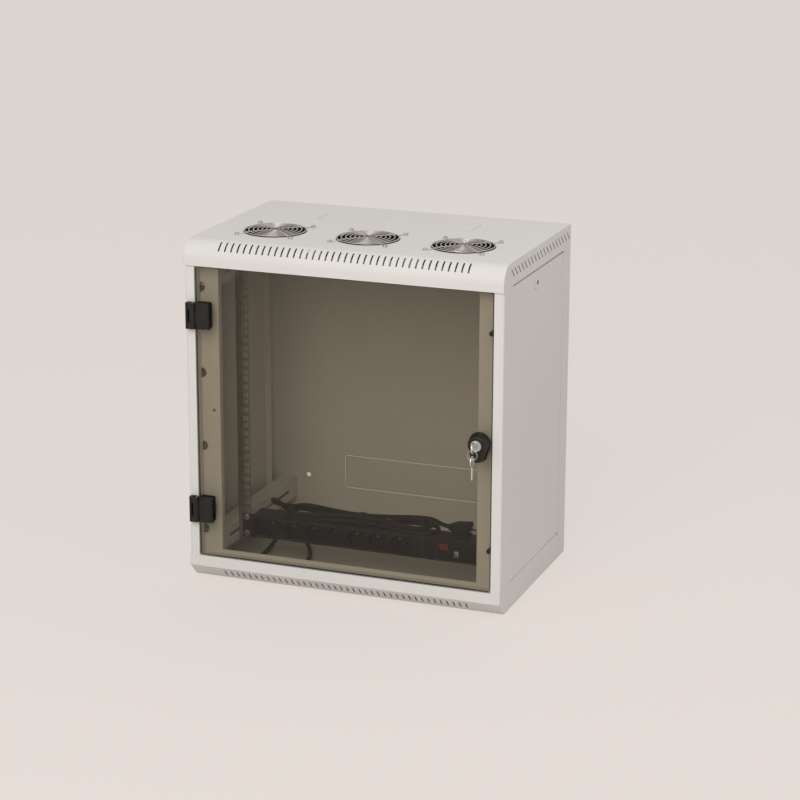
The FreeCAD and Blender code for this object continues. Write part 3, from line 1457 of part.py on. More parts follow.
def make_gland():
    """A tapered sleeve where the lead leaves the back of the strip."""
    cone = document.addObject("Part::Cone", "gland_cone")
    cone.Placement.Rotation = TURNS["y"]
    cone.setExpression("Radius1", dim.gland_radius.formula)
    cone.setExpression("Radius2", formula(dim.cord_radius + 1))
    cone.setExpression("Height", dim.gland_long.formula)
    place(cone, gland_x, strip_back, strip_z)
    return keep(cone, "cord_gland")


def cord_route():
    """The lead from the strain relief, down, over the tray floor and up to its folds."""
    floor = dim.sheet + dim.cord_radius + dim.free_gap
    start_y = gland_tip() + dim.lead_gap
    hank_y = hank_back() - dim.cord_radius - dim.free_gap
    hank_z = strip_high + dim.cord_radius + dim.free_gap
    return [
        (gland_x, start_y, strip_z),
        (gland_x - 2, start_y + 22, strip_z - 4),
        (gland_x - 12, start_y + 40, strip_z - 28),
        (gland_x - 24, start_y + 36, floor + 18),
        (gland_x - 30, start_y + 8, floor),
        (gland_x - 29, start_y - 38, floor),
        (gland_x - 16, start_y - 82, floor),
        (gland_x + 20, start_y - 100, floor),
        (gland_x + 56, start_y - 80, floor),
        (gland_x + 66, start_y - 34, floor),
        (gland_x + 54, start_y + 14, floor),
        (gland_x + 30, start_y + 52, floor + 8),
        (gland_x, start_y + 74, floor + 36),
        (gland_x - 24, start_y + 66, floor + 72),
        (gland_x - 33, start_y + 36, hank_z - 4),
        (gland_x - 20, hank_y + 8, hank_z + 1),
        (gland_x + 4, hank_y, hank_z),
        (hank_left, hank_y, hank_z),
    ]


def lead_path(points):
    """Straight runs joined by tangent arcs as large as their runs allow."""
    edges = []
    radii = []
    place_at = points[0]
    for index in range(1, len(points) - 1):
        before, corner, after = points[index - 1:index + 2]
        run_in = corner - before
        run_out = after - corner
        turn = run_in.getAngle(run_out)
        reach = 0.45 * min(run_in.Length, run_out.Length)
        radii.append(reach / math.tan(turn / 2))
        first = corner - run_in.normalize() * reach
        last = corner + run_out.normalize() * reach
        toward = ((first + last) * 0.5 - corner).normalize()
        centre_gap = radii[-1] / math.cos(turn / 2)
        middle_point = corner + toward * (centre_gap - radii[-1])
        edges.append(Part.LineSegment(place_at, first).toShape())
        edges.append(Part.Arc(first, middle_point, last).toShape())
        place_at = last
    edges.append(Part.LineSegment(place_at, points[-1]).toShape())
    return Part.Wire(edges), radii


def make_cord():
    points = [Vector(*(number(value) for value in point)) for point in cord_route()]
    path, radii = lead_path(points)
    radius = number(dim.cord_radius)
    start = (points[1] - points[0]).normalize()
    circle = Part.Wire(Part.makeCircle(radius, points[0], start))
    tube = path.makePipeShell([circle], True, False)
    expected = math.pi * radius ** 2 * path.Length
    print(f"lead: {path.Length:.0f} mm outside the folds, "
          f"tightest arc {min(radii):.0f} mm, volume ratio {tube.Volume / expected:.4f}")
    print("lead radii", [round(value) for value in radii])
    feature = document.addObject("Part::Feature", "mains_lead")
    feature.Shape = tube
    return keep(feature, "mains_lead")


def hank_front():
    return strip_face + dim.hank_inset


def hank_back():
    return hank_front() + dim.fold_wide + dim.hank_side


def plug_axis():
    return strip_face + dim.strip_deep - dim.hank_inset


def make_hank():
    """The folded lead, as one solid of its outer shape: round folds and a tied waist."""
    body = new_body("folds_body")
    fold = dim.fold_wide / 2
    wide = fold * 1.5
    left = hank_left
    right = hank_right
    low = hank_front()
    high = hank_back()
    outline = [
        (left, low, fold), (left + wide, low, wide),
        (left + wide * 2, low + dim.hank_waist, wide),
        (right - wide * 2, low + dim.hank_waist, wide),
        (right - wide, low, wide), (right, low, fold),
        (right, high, fold), (right - wide, high, wide),
        (right - wide * 2, high - dim.hank_waist, wide),
        (left + wide * 2, high - dim.hank_waist, wide),
        (left + wide, high, wide), (left, high, fold),
    ]
    add_pad(body, "folds_block", "XY", [outline], strip_high, strip_high + dim.hank_tall)
    tail_start = right - fold / 2
    tail = rod("folds_tail", "x", tail_start, plug_axis(), strip_high + dim.plug_tall / 2,
               dim.cord_radius, plug_start - tail_start)
    return keep(fuse("lead_folds", body, tail), "lead_folds")


def make_plug():
    """An inline plug with three flat blades, lying at the end of the folds."""
    y = plug_axis()
    half = dim.plug_wide / 2
    low = strip_high
    start = plug_start
    body = new_body("plug_body")
    neck = dim.plug_tall / 4
    outline = [(start, y - neck), (start + dim.plug_long * 0.35, y - half),
               (start + dim.plug_long, y - half), (start + dim.plug_long, y + half),
               (start + dim.plug_long * 0.35, y + half), (start, y + neck)]
    add_pad(body, "plug_block", "XY", [outline], low, low + dim.plug_tall)
    end = start + dim.plug_long
    blades = []
    for index, (offset, up) in enumerate(((-0.45, 0.35), (0, 0.65), (0.45, 0.35))):
        centre_y = y + half * offset
        centre_z = low + dim.plug_tall * up
        blades.append(box(f"plug_blade_{index}", (end, end + dim.blade_long),
                          (centre_y - 1, centre_y + 1), (centre_z - 2, centre_z + 2)))
    return keep(fuse("mains_plug", body, *blades), "mains_plug")


# ------------------------------------------------------------------- build

def build():
    make_roof()
    make_tray()
    for name, sign in SIDES:
        make_post(name, sign)
    make_rear_panel()
    for name, sign in SIDES:
        make_side_panel(name, sign)
        make_side_lock(name, sign)
        make_rail(name, sign)
        for level, low, high in bracket_levels():
            make_bracket(name, sign, level, low, high)
    make_rail_bolts()
    for name, x in fan_positions:
        make_fan_frame(name, x)
        make_fan_rotor(name, x)
        make_finger_guard(name, x)
    make_fan_screws()
    make_glass()
    for name, sign in LEVELS:
        make_post_leaf(name, sign)
        make_glass_leaf(name, sign)
        make_clamp_plate(name, sign)
    make_hinge_pins()
    make_clamp_screws()
    make_buffers()
    make_lock_housing()
    make_lock_barrel()
    make_lock_plug()
    make_keys()
    make_strip_channel()
    make_sockets()
    make_earth_pins()
    make_rocker()
    make_strip_ends()
    make_rack_screws()
    make_gland()
    make_cord()
    make_hank()
    make_plug()


def check_and_write():
    document.recompute()
    for item in document.Objects:
        if any(word in item.State for word in ("Invalid", "Error")):
            raise RuntimeError(f"{item.Name} failed: {item.State}")
    os.makedirs("parts", exist_ok=True)
    for feature in sub_parts:
        shape = feature.Shape
        if shape.isNull() or not shape.isValid():
            raise RuntimeError(f"{feature.Label} has no valid shape")
        shape.exportStep(f"parts/{feature.Label}.step")
    print(f"{len(sub_parts)} sub-parts written")


build()
check_and_write()
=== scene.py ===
# %% [markdown]
# # A wall cabinet for network equipment
#
# The cabinet is a grey sheet-metal box with a tinted glass door, three fans in its roof,
# steel rack rails and a black socket strip inside. The steel parts come ready made from
# the imported frame, each named after the part it is. This lesson gives them their finish,
# and models by hand what a press brake doesn't make: wire guards, moulded hinges, the lock,
# its keys, screws and the mains lead.

# %% Load the frame
import json
import math

import bmesh
import bpy
from mathutils import Matrix, Vector

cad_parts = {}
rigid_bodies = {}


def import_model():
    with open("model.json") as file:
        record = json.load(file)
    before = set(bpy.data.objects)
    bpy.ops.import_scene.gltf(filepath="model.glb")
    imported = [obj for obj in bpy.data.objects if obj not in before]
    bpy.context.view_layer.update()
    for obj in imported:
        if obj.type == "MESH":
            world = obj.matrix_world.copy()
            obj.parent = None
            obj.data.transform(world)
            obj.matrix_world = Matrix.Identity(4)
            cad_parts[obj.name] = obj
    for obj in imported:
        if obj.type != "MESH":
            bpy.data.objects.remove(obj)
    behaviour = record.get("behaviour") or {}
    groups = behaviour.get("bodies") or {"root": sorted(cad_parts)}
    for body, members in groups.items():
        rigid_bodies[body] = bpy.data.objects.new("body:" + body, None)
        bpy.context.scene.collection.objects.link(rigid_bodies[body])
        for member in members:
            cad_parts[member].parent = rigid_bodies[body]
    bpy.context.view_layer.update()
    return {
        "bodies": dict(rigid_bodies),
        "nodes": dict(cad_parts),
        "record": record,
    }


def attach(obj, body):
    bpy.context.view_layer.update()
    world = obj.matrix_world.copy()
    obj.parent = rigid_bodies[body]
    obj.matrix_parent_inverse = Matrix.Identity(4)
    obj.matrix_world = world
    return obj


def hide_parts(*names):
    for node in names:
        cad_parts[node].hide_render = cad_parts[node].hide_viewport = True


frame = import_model()
nodes = frame["nodes"]

# %% [markdown]
# The camera stands a little above the roof and to the right of the cabinet. Its place is
# worked out from two angles and a distance, because that is how a photographer thinks of it:
# walk round the object, raise the tripod, step back.

# %% Camera
AZIMUTH = math.radians(20.65)
ELEVATION = math.radians(16.0)
ROLL = math.radians(0.18)
DISTANCE = 4.2856
LENS = 110.33
AIM = Vector((0.1107, -0.1925, 0.3819))


def direction(azimuth, height):
    """One step away from the cabinet, azimuth counted from its front towards its right."""
    return Vector((
        math.cos(height) * math.sin(azimuth),
        -math.cos(height) * math.cos(azimuth),
        math.sin(height),
    ))


def place_object(name, data):
    """A new object in the scene, unturned and at the origin."""
    placed = bpy.data.objects.new(name, data)
    bpy.context.scene.collection.objects.link(placed)
    return placed


towards_camera = direction(AZIMUTH, ELEVATION)
camera_data = bpy.data.cameras.new("camera")
camera_data.lens = LENS
camera_data.sensor_width = 36
camera = place_object("camera", camera_data)
camera.location = AIM + towards_camera * DISTANCE
upright = towards_camera.to_track_quat("Z", "Y").to_matrix().to_4x4()
camera.rotation_euler = (upright @ Matrix.Rotation(ROLL, 4, "Z")).to_euler()
bpy.context.scene.camera = camera
print("camera at", [round(value, 3) for value in camera.location])

# %% [markdown]
# Light and finishes are both made of small nodes, wired together. One helper adds a node,
# one does sums, one blends two shaders. The last one tells what the camera sees from what
# only lights the scene.

# %% Wiring helpers
def add_node(tree, kind, **values):
    """A shader node whose inputs are set by name, with spaces written as underscores."""
    node = tree.nodes.new("ShaderNode" + kind)
    for name, value in values.items():
        node.inputs[name.replace("_", " ")].default_value = value
    return node


def link(tree, start, end):
    tree.links.new(start, end)


def maths(tree, operation, *values, clamp=False):
    """A sum on plain numbers and on the outputs of other nodes."""
    node = add_node(tree, "Math")
    node.operation = operation
    node.use_clamp = clamp
    for socket, value in zip(node.inputs, values):
        if isinstance(value, (int, float)):
            socket.default_value = value
        else:
            link(tree, value, socket)
    return node.outputs[0]


def blend(tree, share, first, second):
    """The first shader where the share is 0, the second where it is 1."""
    mix = add_node(tree, "MixShader")
    for socket, source in zip(mix.inputs, (share, first.outputs[0], second.outputs[0])):
        link(tree, source, socket)
    return mix


def seen_by_camera(tree):
    """1 for rays from the camera, from a mirror or through glass, otherwise 0."""
    path = add_node(tree, "LightPath").outputs
    direct = maths(tree, "ADD", path["Is Camera Ray"], path["Is Glossy Ray"])
    return maths(tree, "ADD", direct, path["Is Transmission Ray"], clamp=True)


print("wiring helpers ready")

# %% [markdown]
# A studio room is only a floor that runs on for ever and a soft light all round. The world
# gives the soft light. What the camera sees of it, directly or in the glass, is the warm
# white of the backdrop, so its strength is chosen by what kind of ray asks.

# %% Backdrop and world
BACKDROP = (0.735, 0.672, 0.634, 1)
SOFT_LIGHT = (1.0, 0.995, 0.985, 1)
SOFT_STRENGTH = 0.60

world = bpy.data.worlds.new("studio")
bpy.context.scene.world = world
world.use_nodes = True
tree = world.node_tree
tree.nodes.clear()
lit = add_node(tree, "Background", Color=SOFT_LIGHT, Strength=SOFT_STRENGTH)
seen = add_node(tree, "Background", Color=BACKDROP)
world_mix = blend(tree, seen_by_camera(tree), lit, seen)
link(tree, world_mix.outputs[0], add_node(tree, "OutputWorld").inputs["Surface"])

bpy.context.scene.view_settings.view_transform = "Standard"
print("world of strength", SOFT_STRENGTH)

# %% [markdown]
# Two soft boxes add direction to that light. The key stands in front, above the roof, and
# shapes the rolled edge and the posts. A weak one on the right lifts the side panel.

# %% Lamps
KEY_AZIMUTH = math.radians(5)
KEY_HEIGHT = math.radians(33)
KEY_DISTANCE = 4.0
KEY_SIZE = 2.4
KEY_POWER = 71
SIDE_AZIMUTH = math.radians(88)
SIDE_HEIGHT = math.radians(46)
SIDE_DISTANCE = 1.6
SIDE_SIZE = 1.0
SIDE_POWER = 2.0
CABINET_MIDDLE = Vector((0, 0, 0.3))


def add_lamp(name, azimuth, height, distance, size, power, colour):
    """A square soft box that looks at the middle of the cabinet."""
    away = direction(azimuth, height)
    lamp = bpy.data.lights.new(name, "AREA")
    lamp.size = size
    lamp.energy = power
    lamp.color = colour
    holder = place_object(name, lamp)
    holder.location = CABINET_MIDDLE + away * distance
    holder.rotation_euler = away.to_track_quat("Z", "Y").to_euler()


add_lamp("key", KEY_AZIMUTH, KEY_HEIGHT, KEY_DISTANCE, KEY_SIZE, KEY_POWER, (1, 0.99, 0.975))
add_lamp("side_fill", SIDE_AZIMUTH, SIDE_HEIGHT, SIDE_DISTANCE, SIDE_SIZE, SIDE_POWER,
         (1, 0.99, 0.96))
print("key lamp of", KEY_POWER, "watts, side fill of", SIDE_POWER)

# %% [markdown]
# ## Finishes
#
# Every finish starts from one shader. Its detail comes from noise in the object's own
# coordinates, so it stays on the metal when a door swings. One helper makes the shader and
# sets what is the same all over. The others add what changes from place to place: a tone
# that drifts, and a grain that catches the light.

# %% Finish helpers
def new_finish(name, roughness, metallic=0.0, coat=0.0, specular=0.5):
    """A material with its node tree and its shader."""
    material = bpy.data.materials.new(name)
    material.use_nodes = True
    shader = material.node_tree.nodes["Principled BSDF"]
    shader.inputs["Roughness"].default_value = roughness
    shader.inputs["Metallic"].default_value = metallic
    shader.inputs["Coat Weight"].default_value = coat
    shader.inputs["Specular IOR Level"].default_value = specular
    return material, material.node_tree, shader


def noise_at(tree, scale, detail=3.0, stretch=(1, 1, 1)):
    """Noise in object coordinates, where scale counts its lumps to the metre."""
    place = add_node(tree, "TexCoord")
    mapping = add_node(tree, "Mapping", Scale=stretch)
    noise = add_node(tree, "TexNoise", Scale=scale, Detail=detail)
    link(tree, place.outputs["Object"], mapping.inputs["Vector"])
    link(tree, mapping.outputs["Vector"], noise.inputs["Vector"])
    return noise.outputs["Fac"]


def drift(tree, socket, factor, low, high):
    """The colour of a socket drifts between two tones."""
    ramp = add_node(tree, "ValToRGB")
    for stop, position, tone in zip(ramp.color_ramp.elements, (0.3, 0.7), (low, high)):
        stop.position = position
        stop.color = (*tone, 1)
    link(tree, factor, ramp.inputs["Fac"])
    link(tree, ramp.outputs["Color"], socket)


def spread(tree, socket, factor, low, high):
    """A plain number drifts between two values."""
    span = add_node(tree, "MapRange", To_Min=low, To_Max=high)
    link(tree, factor, span.inputs["Value"])
    link(tree, span.outputs["Result"], socket)


def grain(tree, shader, height, depth, edge=0.0):
    """Bump of a real depth in metres, over edges rounded by a real radius."""
    bump = add_node(tree, "Bump", Strength=1.0, Distance=depth)
    link(tree, height, bump.inputs["Height"])
    if edge:
        rounded = add_node(tree, "Bevel", Radius=edge)
        rounded.samples = 4
        link(tree, rounded.outputs["Normal"], bump.inputs["Normal"])
    link(tree, bump.outputs["Normal"], shader.inputs["Normal"])


print("finish helpers ready")

# %% [markdown]
# The floor takes the shadow like any matt ground. For the camera it also glows a little in
# the tone of the backdrop, so that far away the two run into each other.

# %% Floor
FLOOR_SIZE = 60
FLOOR_DROP = 0.0005
FLOOR_BASE = (0.70, 0.645, 0.603, 1)
FLOOR_TONE = (0.83, 0.763, 0.722, 1)
FLOOR_GLOW = 0.7

bpy.ops.mesh.primitive_plane_add(size=FLOOR_SIZE, location=(0, 0, -FLOOR_DROP))
floor = bpy.context.active_object
floor.name = "floor"

pale_floor, tree, shader = new_finish("pale_floor", 0.7, specular=0.2)
shader.inputs["Base Color"].default_value = FLOOR_BASE
share = maths(tree, "MULTIPLY", seen_by_camera(tree), FLOOR_GLOW)
floor_mix = blend(tree, share, shader, add_node(tree, "Emission", Color=FLOOR_TONE))
link(tree, floor_mix.outputs[0], tree.nodes["Material Output"].inputs["Surface"])
floor.data.materials.append(pale_floor)
print("floor", FLOOR_SIZE, "m wide")

# %% [markdown]
# The cabinet is powder coated in a warm light grey. Powder melts in the oven to a skin with
# a faint orange peel, dull enough to hide it but with a soft sheen at a low angle. Its bends
# are round, so the edges catch the light.

# %% Powder coat
paint, tree, shader = new_finish("powder_coat", 0.55, specular=0.25)
drift(tree, shader.inputs["Base Color"], noise_at(tree, 5.0),
      (0.693, 0.674, 0.653), (0.713, 0.694, 0.671))
spread(tree, shader.inputs["Roughness"], noise_at(tree, 40.0), 0.50, 0.60)
grain(tree, shader, noise_at(tree, 900.0, 2.0), 0.00002, 0.0009)
print("powder coat ready")

# %% [markdown]
# Four metals: cloudy zinc on rails and screws, chrome on the guards and the lock, brushed
# nickel on the keys with the marks along the sheet, and black lacquered sheet for the strip.

# %% Zinc, black steel, chrome, nickel
zinc, tree, shader = new_finish("zinc_plate", 0.36, metallic=1.0)
drift(tree, shader.inputs["Base Color"], noise_at(tree, 90.0),
      (0.40, 0.39, 0.365), (0.52, 0.51, 0.485))
spread(tree, shader.inputs["Roughness"], noise_at(tree, 220.0), 0.28, 0.46)
grain(tree, shader, noise_at(tree, 300.0), 0.00001, 0.0004)

chrome, tree, shader = new_finish("bright_chrome", 0.35, metallic=1.0)
drift(tree, shader.inputs["Base Color"], noise_at(tree, 60.0),
      (0.56, 0.55, 0.53), (0.66, 0.65, 0.63))
spread(tree, shader.inputs["Roughness"], noise_at(tree, 500.0), 0.32, 0.46)

nickel, tree, shader = new_finish("key_nickel", 0.28, metallic=1.0)
drift(tree, shader.inputs["Base Color"], noise_at(tree, 400.0, stretch=(1, 1, 6)),
      (0.60, 0.585, 0.55), (0.74, 0.72, 0.68))
grain(tree, shader, noise_at(tree, 1500.0, stretch=(1, 1, 5)), 0.00001, 0.0002)

black_steel, tree, shader = new_finish("black_coated_metal", 0.4, specular=0.3)
drift(tree, shader.inputs["Base Color"], noise_at(tree, 30.0),
      (0.019, 0.0135, 0.0115), (0.027, 0.0195, 0.0165))
spread(tree, shader.inputs["Roughness"], noise_at(tree, 120.0), 0.36, 0.48)
grain(tree, shader, noise_at(tree, 1100.0), 0.000003, 0.0005)
print("metals ready")

# %% [markdown]
# The hinges and the lock housing are moulded with a fine texture. Rubber is the dullest of
# the blacks, and the rocker of the switch is a clear, glossy red.

# %% Mouldings and rubber
plastic, tree, shader = new_finish("black_moulding", 0.42, specular=0.3)
drift(tree, shader.inputs["Base Color"], noise_at(tree, 25.0),
      (0.010, 0.009, 0.008), (0.016, 0.0145, 0.013))
spread(tree, shader.inputs["Roughness"], noise_at(tree, 200.0), 0.34, 0.5)
grain(tree, shader, noise_at(tree, 2200.0, 1.0), 0.000015, 0.0004)

rubber, tree, shader = new_finish("black_rubber", 0.62, specular=0.3)
drift(tree, shader.inputs["Base Color"], noise_at(tree, 40.0),
      (0.014, 0.012, 0.011), (0.022, 0.019, 0.017))
grain(tree, shader, noise_at(tree, 900.0), 0.00003)

red, tree, shader = new_finish("red_rocker", 0.3, coat=0.3)
drift(tree, shader.inputs["Base Color"], noise_at(tree, 80.0),
      (0.21, 0.012, 0.008), (0.26, 0.018, 0.012))
grain(tree, shader, noise_at(tree, 900.0), 0.00001, 0.0004)
print("mouldings ready")

# %% [markdown]
# The door is smoked glass. What shows through it goes dark twice over, once at each face, and
# a little of the room shows in front of it. Light bent by real glass arrives noisy, so the
# pane is a filter mixed with a mirror. The mirror grows stronger towards a slant, as glass
# does, in the same way from both sides: 4% head on, and all of it at the very edge.
# The pane's own edge is dark, for there one looks along the tint. The edge is told from the
# faces by the direction a face looks in, in the pane's own coordinates, so it holds when
# the door swings.

# %% Smoked glass
SMOKE = (0.819, 0.794, 0.740, 1)
EDGE_SMOKE = (0.05, 0.055, 0.045, 1)
MIRROR_TONE = (0.45, 0.45, 0.45, 1)
HEAD_ON = 0.04
FALL_OFF = 5

smoked = bpy.data.materials.new("smoked_glass")
smoked.use_nodes = True
tree = smoked.node_tree
tree.nodes.clear()
tint = add_node(tree, "BsdfTransparent", Color=SMOKE)
mirror = add_node(tree, "BsdfGlossy", Color=MIRROR_TONE, Roughness=0.03)
slant = maths(tree, "POWER", add_node(tree, "LayerWeight").outputs["Facing"], FALL_OFF)
face = blend(tree, maths(tree, "MULTIPLY_ADD", slant, 1 - HEAD_ON, HEAD_ON), tint, mirror)

edge = add_node(tree, "BsdfPrincipled", Base_Color=EDGE_SMOKE, Roughness=0.2)
own = add_node(tree, "SeparateXYZ")
link(tree, add_node(tree, "TexCoord").outputs["Normal"], own.inputs[0])
on_edge = maths(tree, "LESS_THAN", maths(tree, "ABSOLUTE", own.outputs["Y"]), 0.5)
pane = blend(tree, on_edge, face, edge)
link(tree, pane.outputs[0], add_node(tree, "OutputMaterial").inputs["Surface"])
print("glass ready")

# %% [markdown]
# The record of the frame names the material of each part, so one table dresses them all.

# %% Dress the frame
FINISHES = {
    "grey_paint": paint,
    "zinc_steel": zinc,
    "side_lock_metal": paint,
    "black_plastic": plastic,
    "bright_chrome": chrome,
    "smoked_glass": smoked,
    "key_steel": nickel,
    "black_rubber": rubber,
    "black_coated_metal": black_steel,
    "red_plastic": red,
}
slot_of = {part["node"]: part["material_slot"] for part in frame["record"]["subparts"]}
for name, node in nodes.items():
    node.data.materials.clear()
    node.data.materials.append(FINISHES[slot_of[name]])
print("dressed", len(slot_of), "nodes")

# %% [markdown]
# ## Tools for the bench
#
# Most pieces below are modelled the same way: add a primitive at its size and place, open
# it in edit mode, pick some faces, push them about. A few small helpers keep that short.
# Some start a piece as a block, a bar or a ring, with its place already in its mesh, so
# that everything after it is measured from the middle of the cabinet's floor. Others pick
# faces, edges or corners by where they are, and cut, round or pull what was picked.

# %% Starting a piece
UPRIGHT = (0, 0, 0)
FACING_FRONT = (math.radians(90), 0, 0)
FACING_SIDE = (0, math.radians(90), 0)


def select_only(piece):
    bpy.ops.object.select_all(action="DESELECT")
    bpy.context.view_layer.objects.active = piece
    piece.select_set(True)


def open_piece(name):
    """Name the primitive just added, settle its place in its mesh and start editing."""
    piece = bpy.context.active_object
    piece.name = name
    piece.data.name = name
    select_only(piece)
    bpy.ops.object.transform_apply(location=True, rotation=True, scale=True)
    bpy.ops.object.mode_set(mode="EDIT")
    return piece


def start_block(name, place, size):
    bpy.ops.mesh.primitive_cube_add(size=1, location=place, scale=size)
    return open_piece(name)


def start_bar(name, place, radius, length, rotation=UPRIGHT, corners=48):
    bpy.ops.mesh.primitive_cylinder_add(
        vertices=corners, radius=radius, depth=length, location=place, rotation=rotation)
    return open_piece(name)


def start_ring(name, place, radius, corners, rotation=UPRIGHT, fill="NOTHING"):
    bpy.ops.mesh.primitive_circle_add(
        vertices=corners, radius=radius, fill_type=fill, location=place, rotation=rotation)
    return open_piece(name)


print("blocks, bars and rings ready")

# %% Picking and shaping
def pick(piece, kind, test):
    """Select the faces, edges or corners that pass a test."""
    bpy.ops.mesh.select_mode(type=kind)
    bpy.ops.mesh.select_all(action="DESELECT")
    mesh = bmesh.from_edit_mesh(piece.data)
    elements = {"VERT": mesh.verts, "EDGE": mesh.edges, "FACE": mesh.faces}[kind]
    chosen = [element for element in elements if test(element)]
    for element in chosen:
        element.select_set(True)
    mesh.select_flush_mode()
    bmesh.update_edit_mesh(piece.data)


def middle(element):
    """The middle of an edge or of a face."""
    corners = [corner.co for corner in element.verts]
    return sum(corners, Vector()) / len(corners)


def near(value, target):
    """True within a tenth of a millimetre."""
    return abs(value - target) < 0.0001


def round_edges(piece, radius, segments, test):
    pick(piece, "EDGE", test)
    bpy.ops.mesh.bevel(offset=radius, segments=segments, affect="EDGES")


def pull(move):
    """Extrude what is picked."""
    bpy.ops.mesh.extrude_region_move(TRANSFORM_OT_translate={"value": move})


def cut_across(place, axis):
    """Cut the whole piece with a plane square to one axis."""
    bpy.ops.mesh.select_all(action="SELECT")
    bpy.ops.mesh.bisect(plane_co=place, plane_no=axis)


def stop_editing():
    bpy.ops.object.mode_set(mode="OBJECT")


def apply(modifier):
    bpy.ops.object.modifier_apply(modifier=modifier.name)


print("shaping helpers ready")

# %% [markdown]
# The last helper closes a piece: soft edges, smooth shading, finish, and the body that
# carries it when the door or a key moves. Two more copy a piece, and join several.

# %% Closing, copying and joining
SOFT_ANGLE = math.radians(38)


def close_piece(piece, slot, body, replaces=(), soft=0.0, smooth=38, finish=None, weigh=False):
    """Leave edit mode, soften the edges by a radius, dress the piece and hang it up."""
    if piece.mode == "EDIT":
        bpy.ops.mesh.select_all(action="SELECT")
        bpy.ops.mesh.remove_doubles(threshold=0.000005)
        bpy.ops.mesh.normals_make_consistent(inside=False)
        stop_editing()
    select_only(piece)
    if soft:
        bevel = piece.modifiers.new("soft_edges", "BEVEL")
        bevel.width = soft
        bevel.segments = 2
        bevel.limit_method = "ANGLE"
        bevel.angle_limit = SOFT_ANGLE
        apply(bevel)
    bpy.ops.object.shade_smooth_by_angle(angle=math.radians(smooth))
    if weigh:
        lean = piece.modifiers.new("large_faces_lead", "WEIGHTED_NORMAL")
        lean.keep_sharp = True
        apply(lean)
    piece.data.materials.clear()
    piece.data.materials.append(finish or FINISHES[slot])
    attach(piece, body)
    if replaces:
        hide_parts(*replaces)
    print(piece.name, len(piece.data.polygons), "faces")


def twin(piece, name, move, turn=Matrix.Identity(4)):
    """A copy of a modelled piece with a mesh of its own, turned and then moved."""
    mesh = piece.data.copy()
    mesh.name = name
    mesh.transform(turn)
    mesh.transform(Matrix.Translation(move))
    return place_object(name, mesh)


def join(pieces, name):
    """Several modelled pieces become one."""
    bpy.ops.object.select_all(action="DESELECT")
    for piece in pieces:
        piece.select_set(True)
    bpy.context.view_layer.objects.active = pieces[0]
    bpy.ops.object.join()
    whole = bpy.context.active_object
    whole.name = name
    whole.data.name = name
    return whole


print("bench ready")

# %% [markdown]
# ## The mains lead
#
# The socket strip's own lead leaves the back of the strip, loops round on the floor of the
# cabinet, climbs up and lies folded on top of the strip, held by one tie. It is 8 mm thick
# and is one curve from end to end. A NURBS spline is a smooth line drawn by the points that
# pull it, much as a real lead is pulled round its loops. The order is set after the points
# are there; set before, the line would stay a chain of straight runs.

# %% Where the lead goes before it is folded
LEAD_RADIUS = 0.004
LEAD_EXIT = (-0.190, -0.0254, 0.07622)
LEAD_ROUTE = [
    LEAD_EXIT,
    (-0.192, -0.0034, 0.0722), (-0.202, 0.0146, 0.0482), (-0.214, 0.0106, 0.0235),
    (-0.220, -0.0174, 0.0055), (-0.219, -0.0634, 0.0055), (-0.206, -0.1074, 0.0055),
    (-0.170, -0.1254, 0.0055), (-0.134, -0.1054, 0.0055), (-0.124, -0.0594, 0.0055),
    (-0.136, -0.0114, 0.0055), (-0.160, 0.0266, 0.0135), (-0.190, 0.0486, 0.0415),
    (-0.214, 0.0406, 0.0775), (-0.223, 0.0106, 0.0985), (-0.210, -0.0218, 0.1035),
    (-0.186, -0.0298, 0.1025),
]
print(len(LEAD_ROUTE), "points before the folds")

# %% [markdown]
# The folds are five runs of lead, back and forth, in two layers. No two loops are alike:
# each has its own end and its own width. The tie draws the runs together in the middle.
# A run is a list of points to the left or right, and a turn is a fan of points round the
# middle of its loop.

# %% The folds
FOLD_MIDDLE = -0.0625
LOWER_LAYER = 0.1025
UPPER_LAYER = 0.1107
TIE_X = -0.0135
TURN_STEPS = 5


def fold_turn(centre, reach, height, first, last):
    """Six points round the end of a loop, from one angle to another, in degrees."""
    points = []
    for step in range(TURN_STEPS + 1):
        angle = math.radians(first + (last - first) * step / TURN_STEPS)
        points.append((centre + reach * math.cos(angle),
                       FOLD_MIDDLE + reach * math.sin(angle), height))
    return points


def fold_run(points):
    """Points of a run, given as place along the strip, place across it and height."""
    return [(along, FOLD_MIDDLE + across, height) for along, across, height in points]


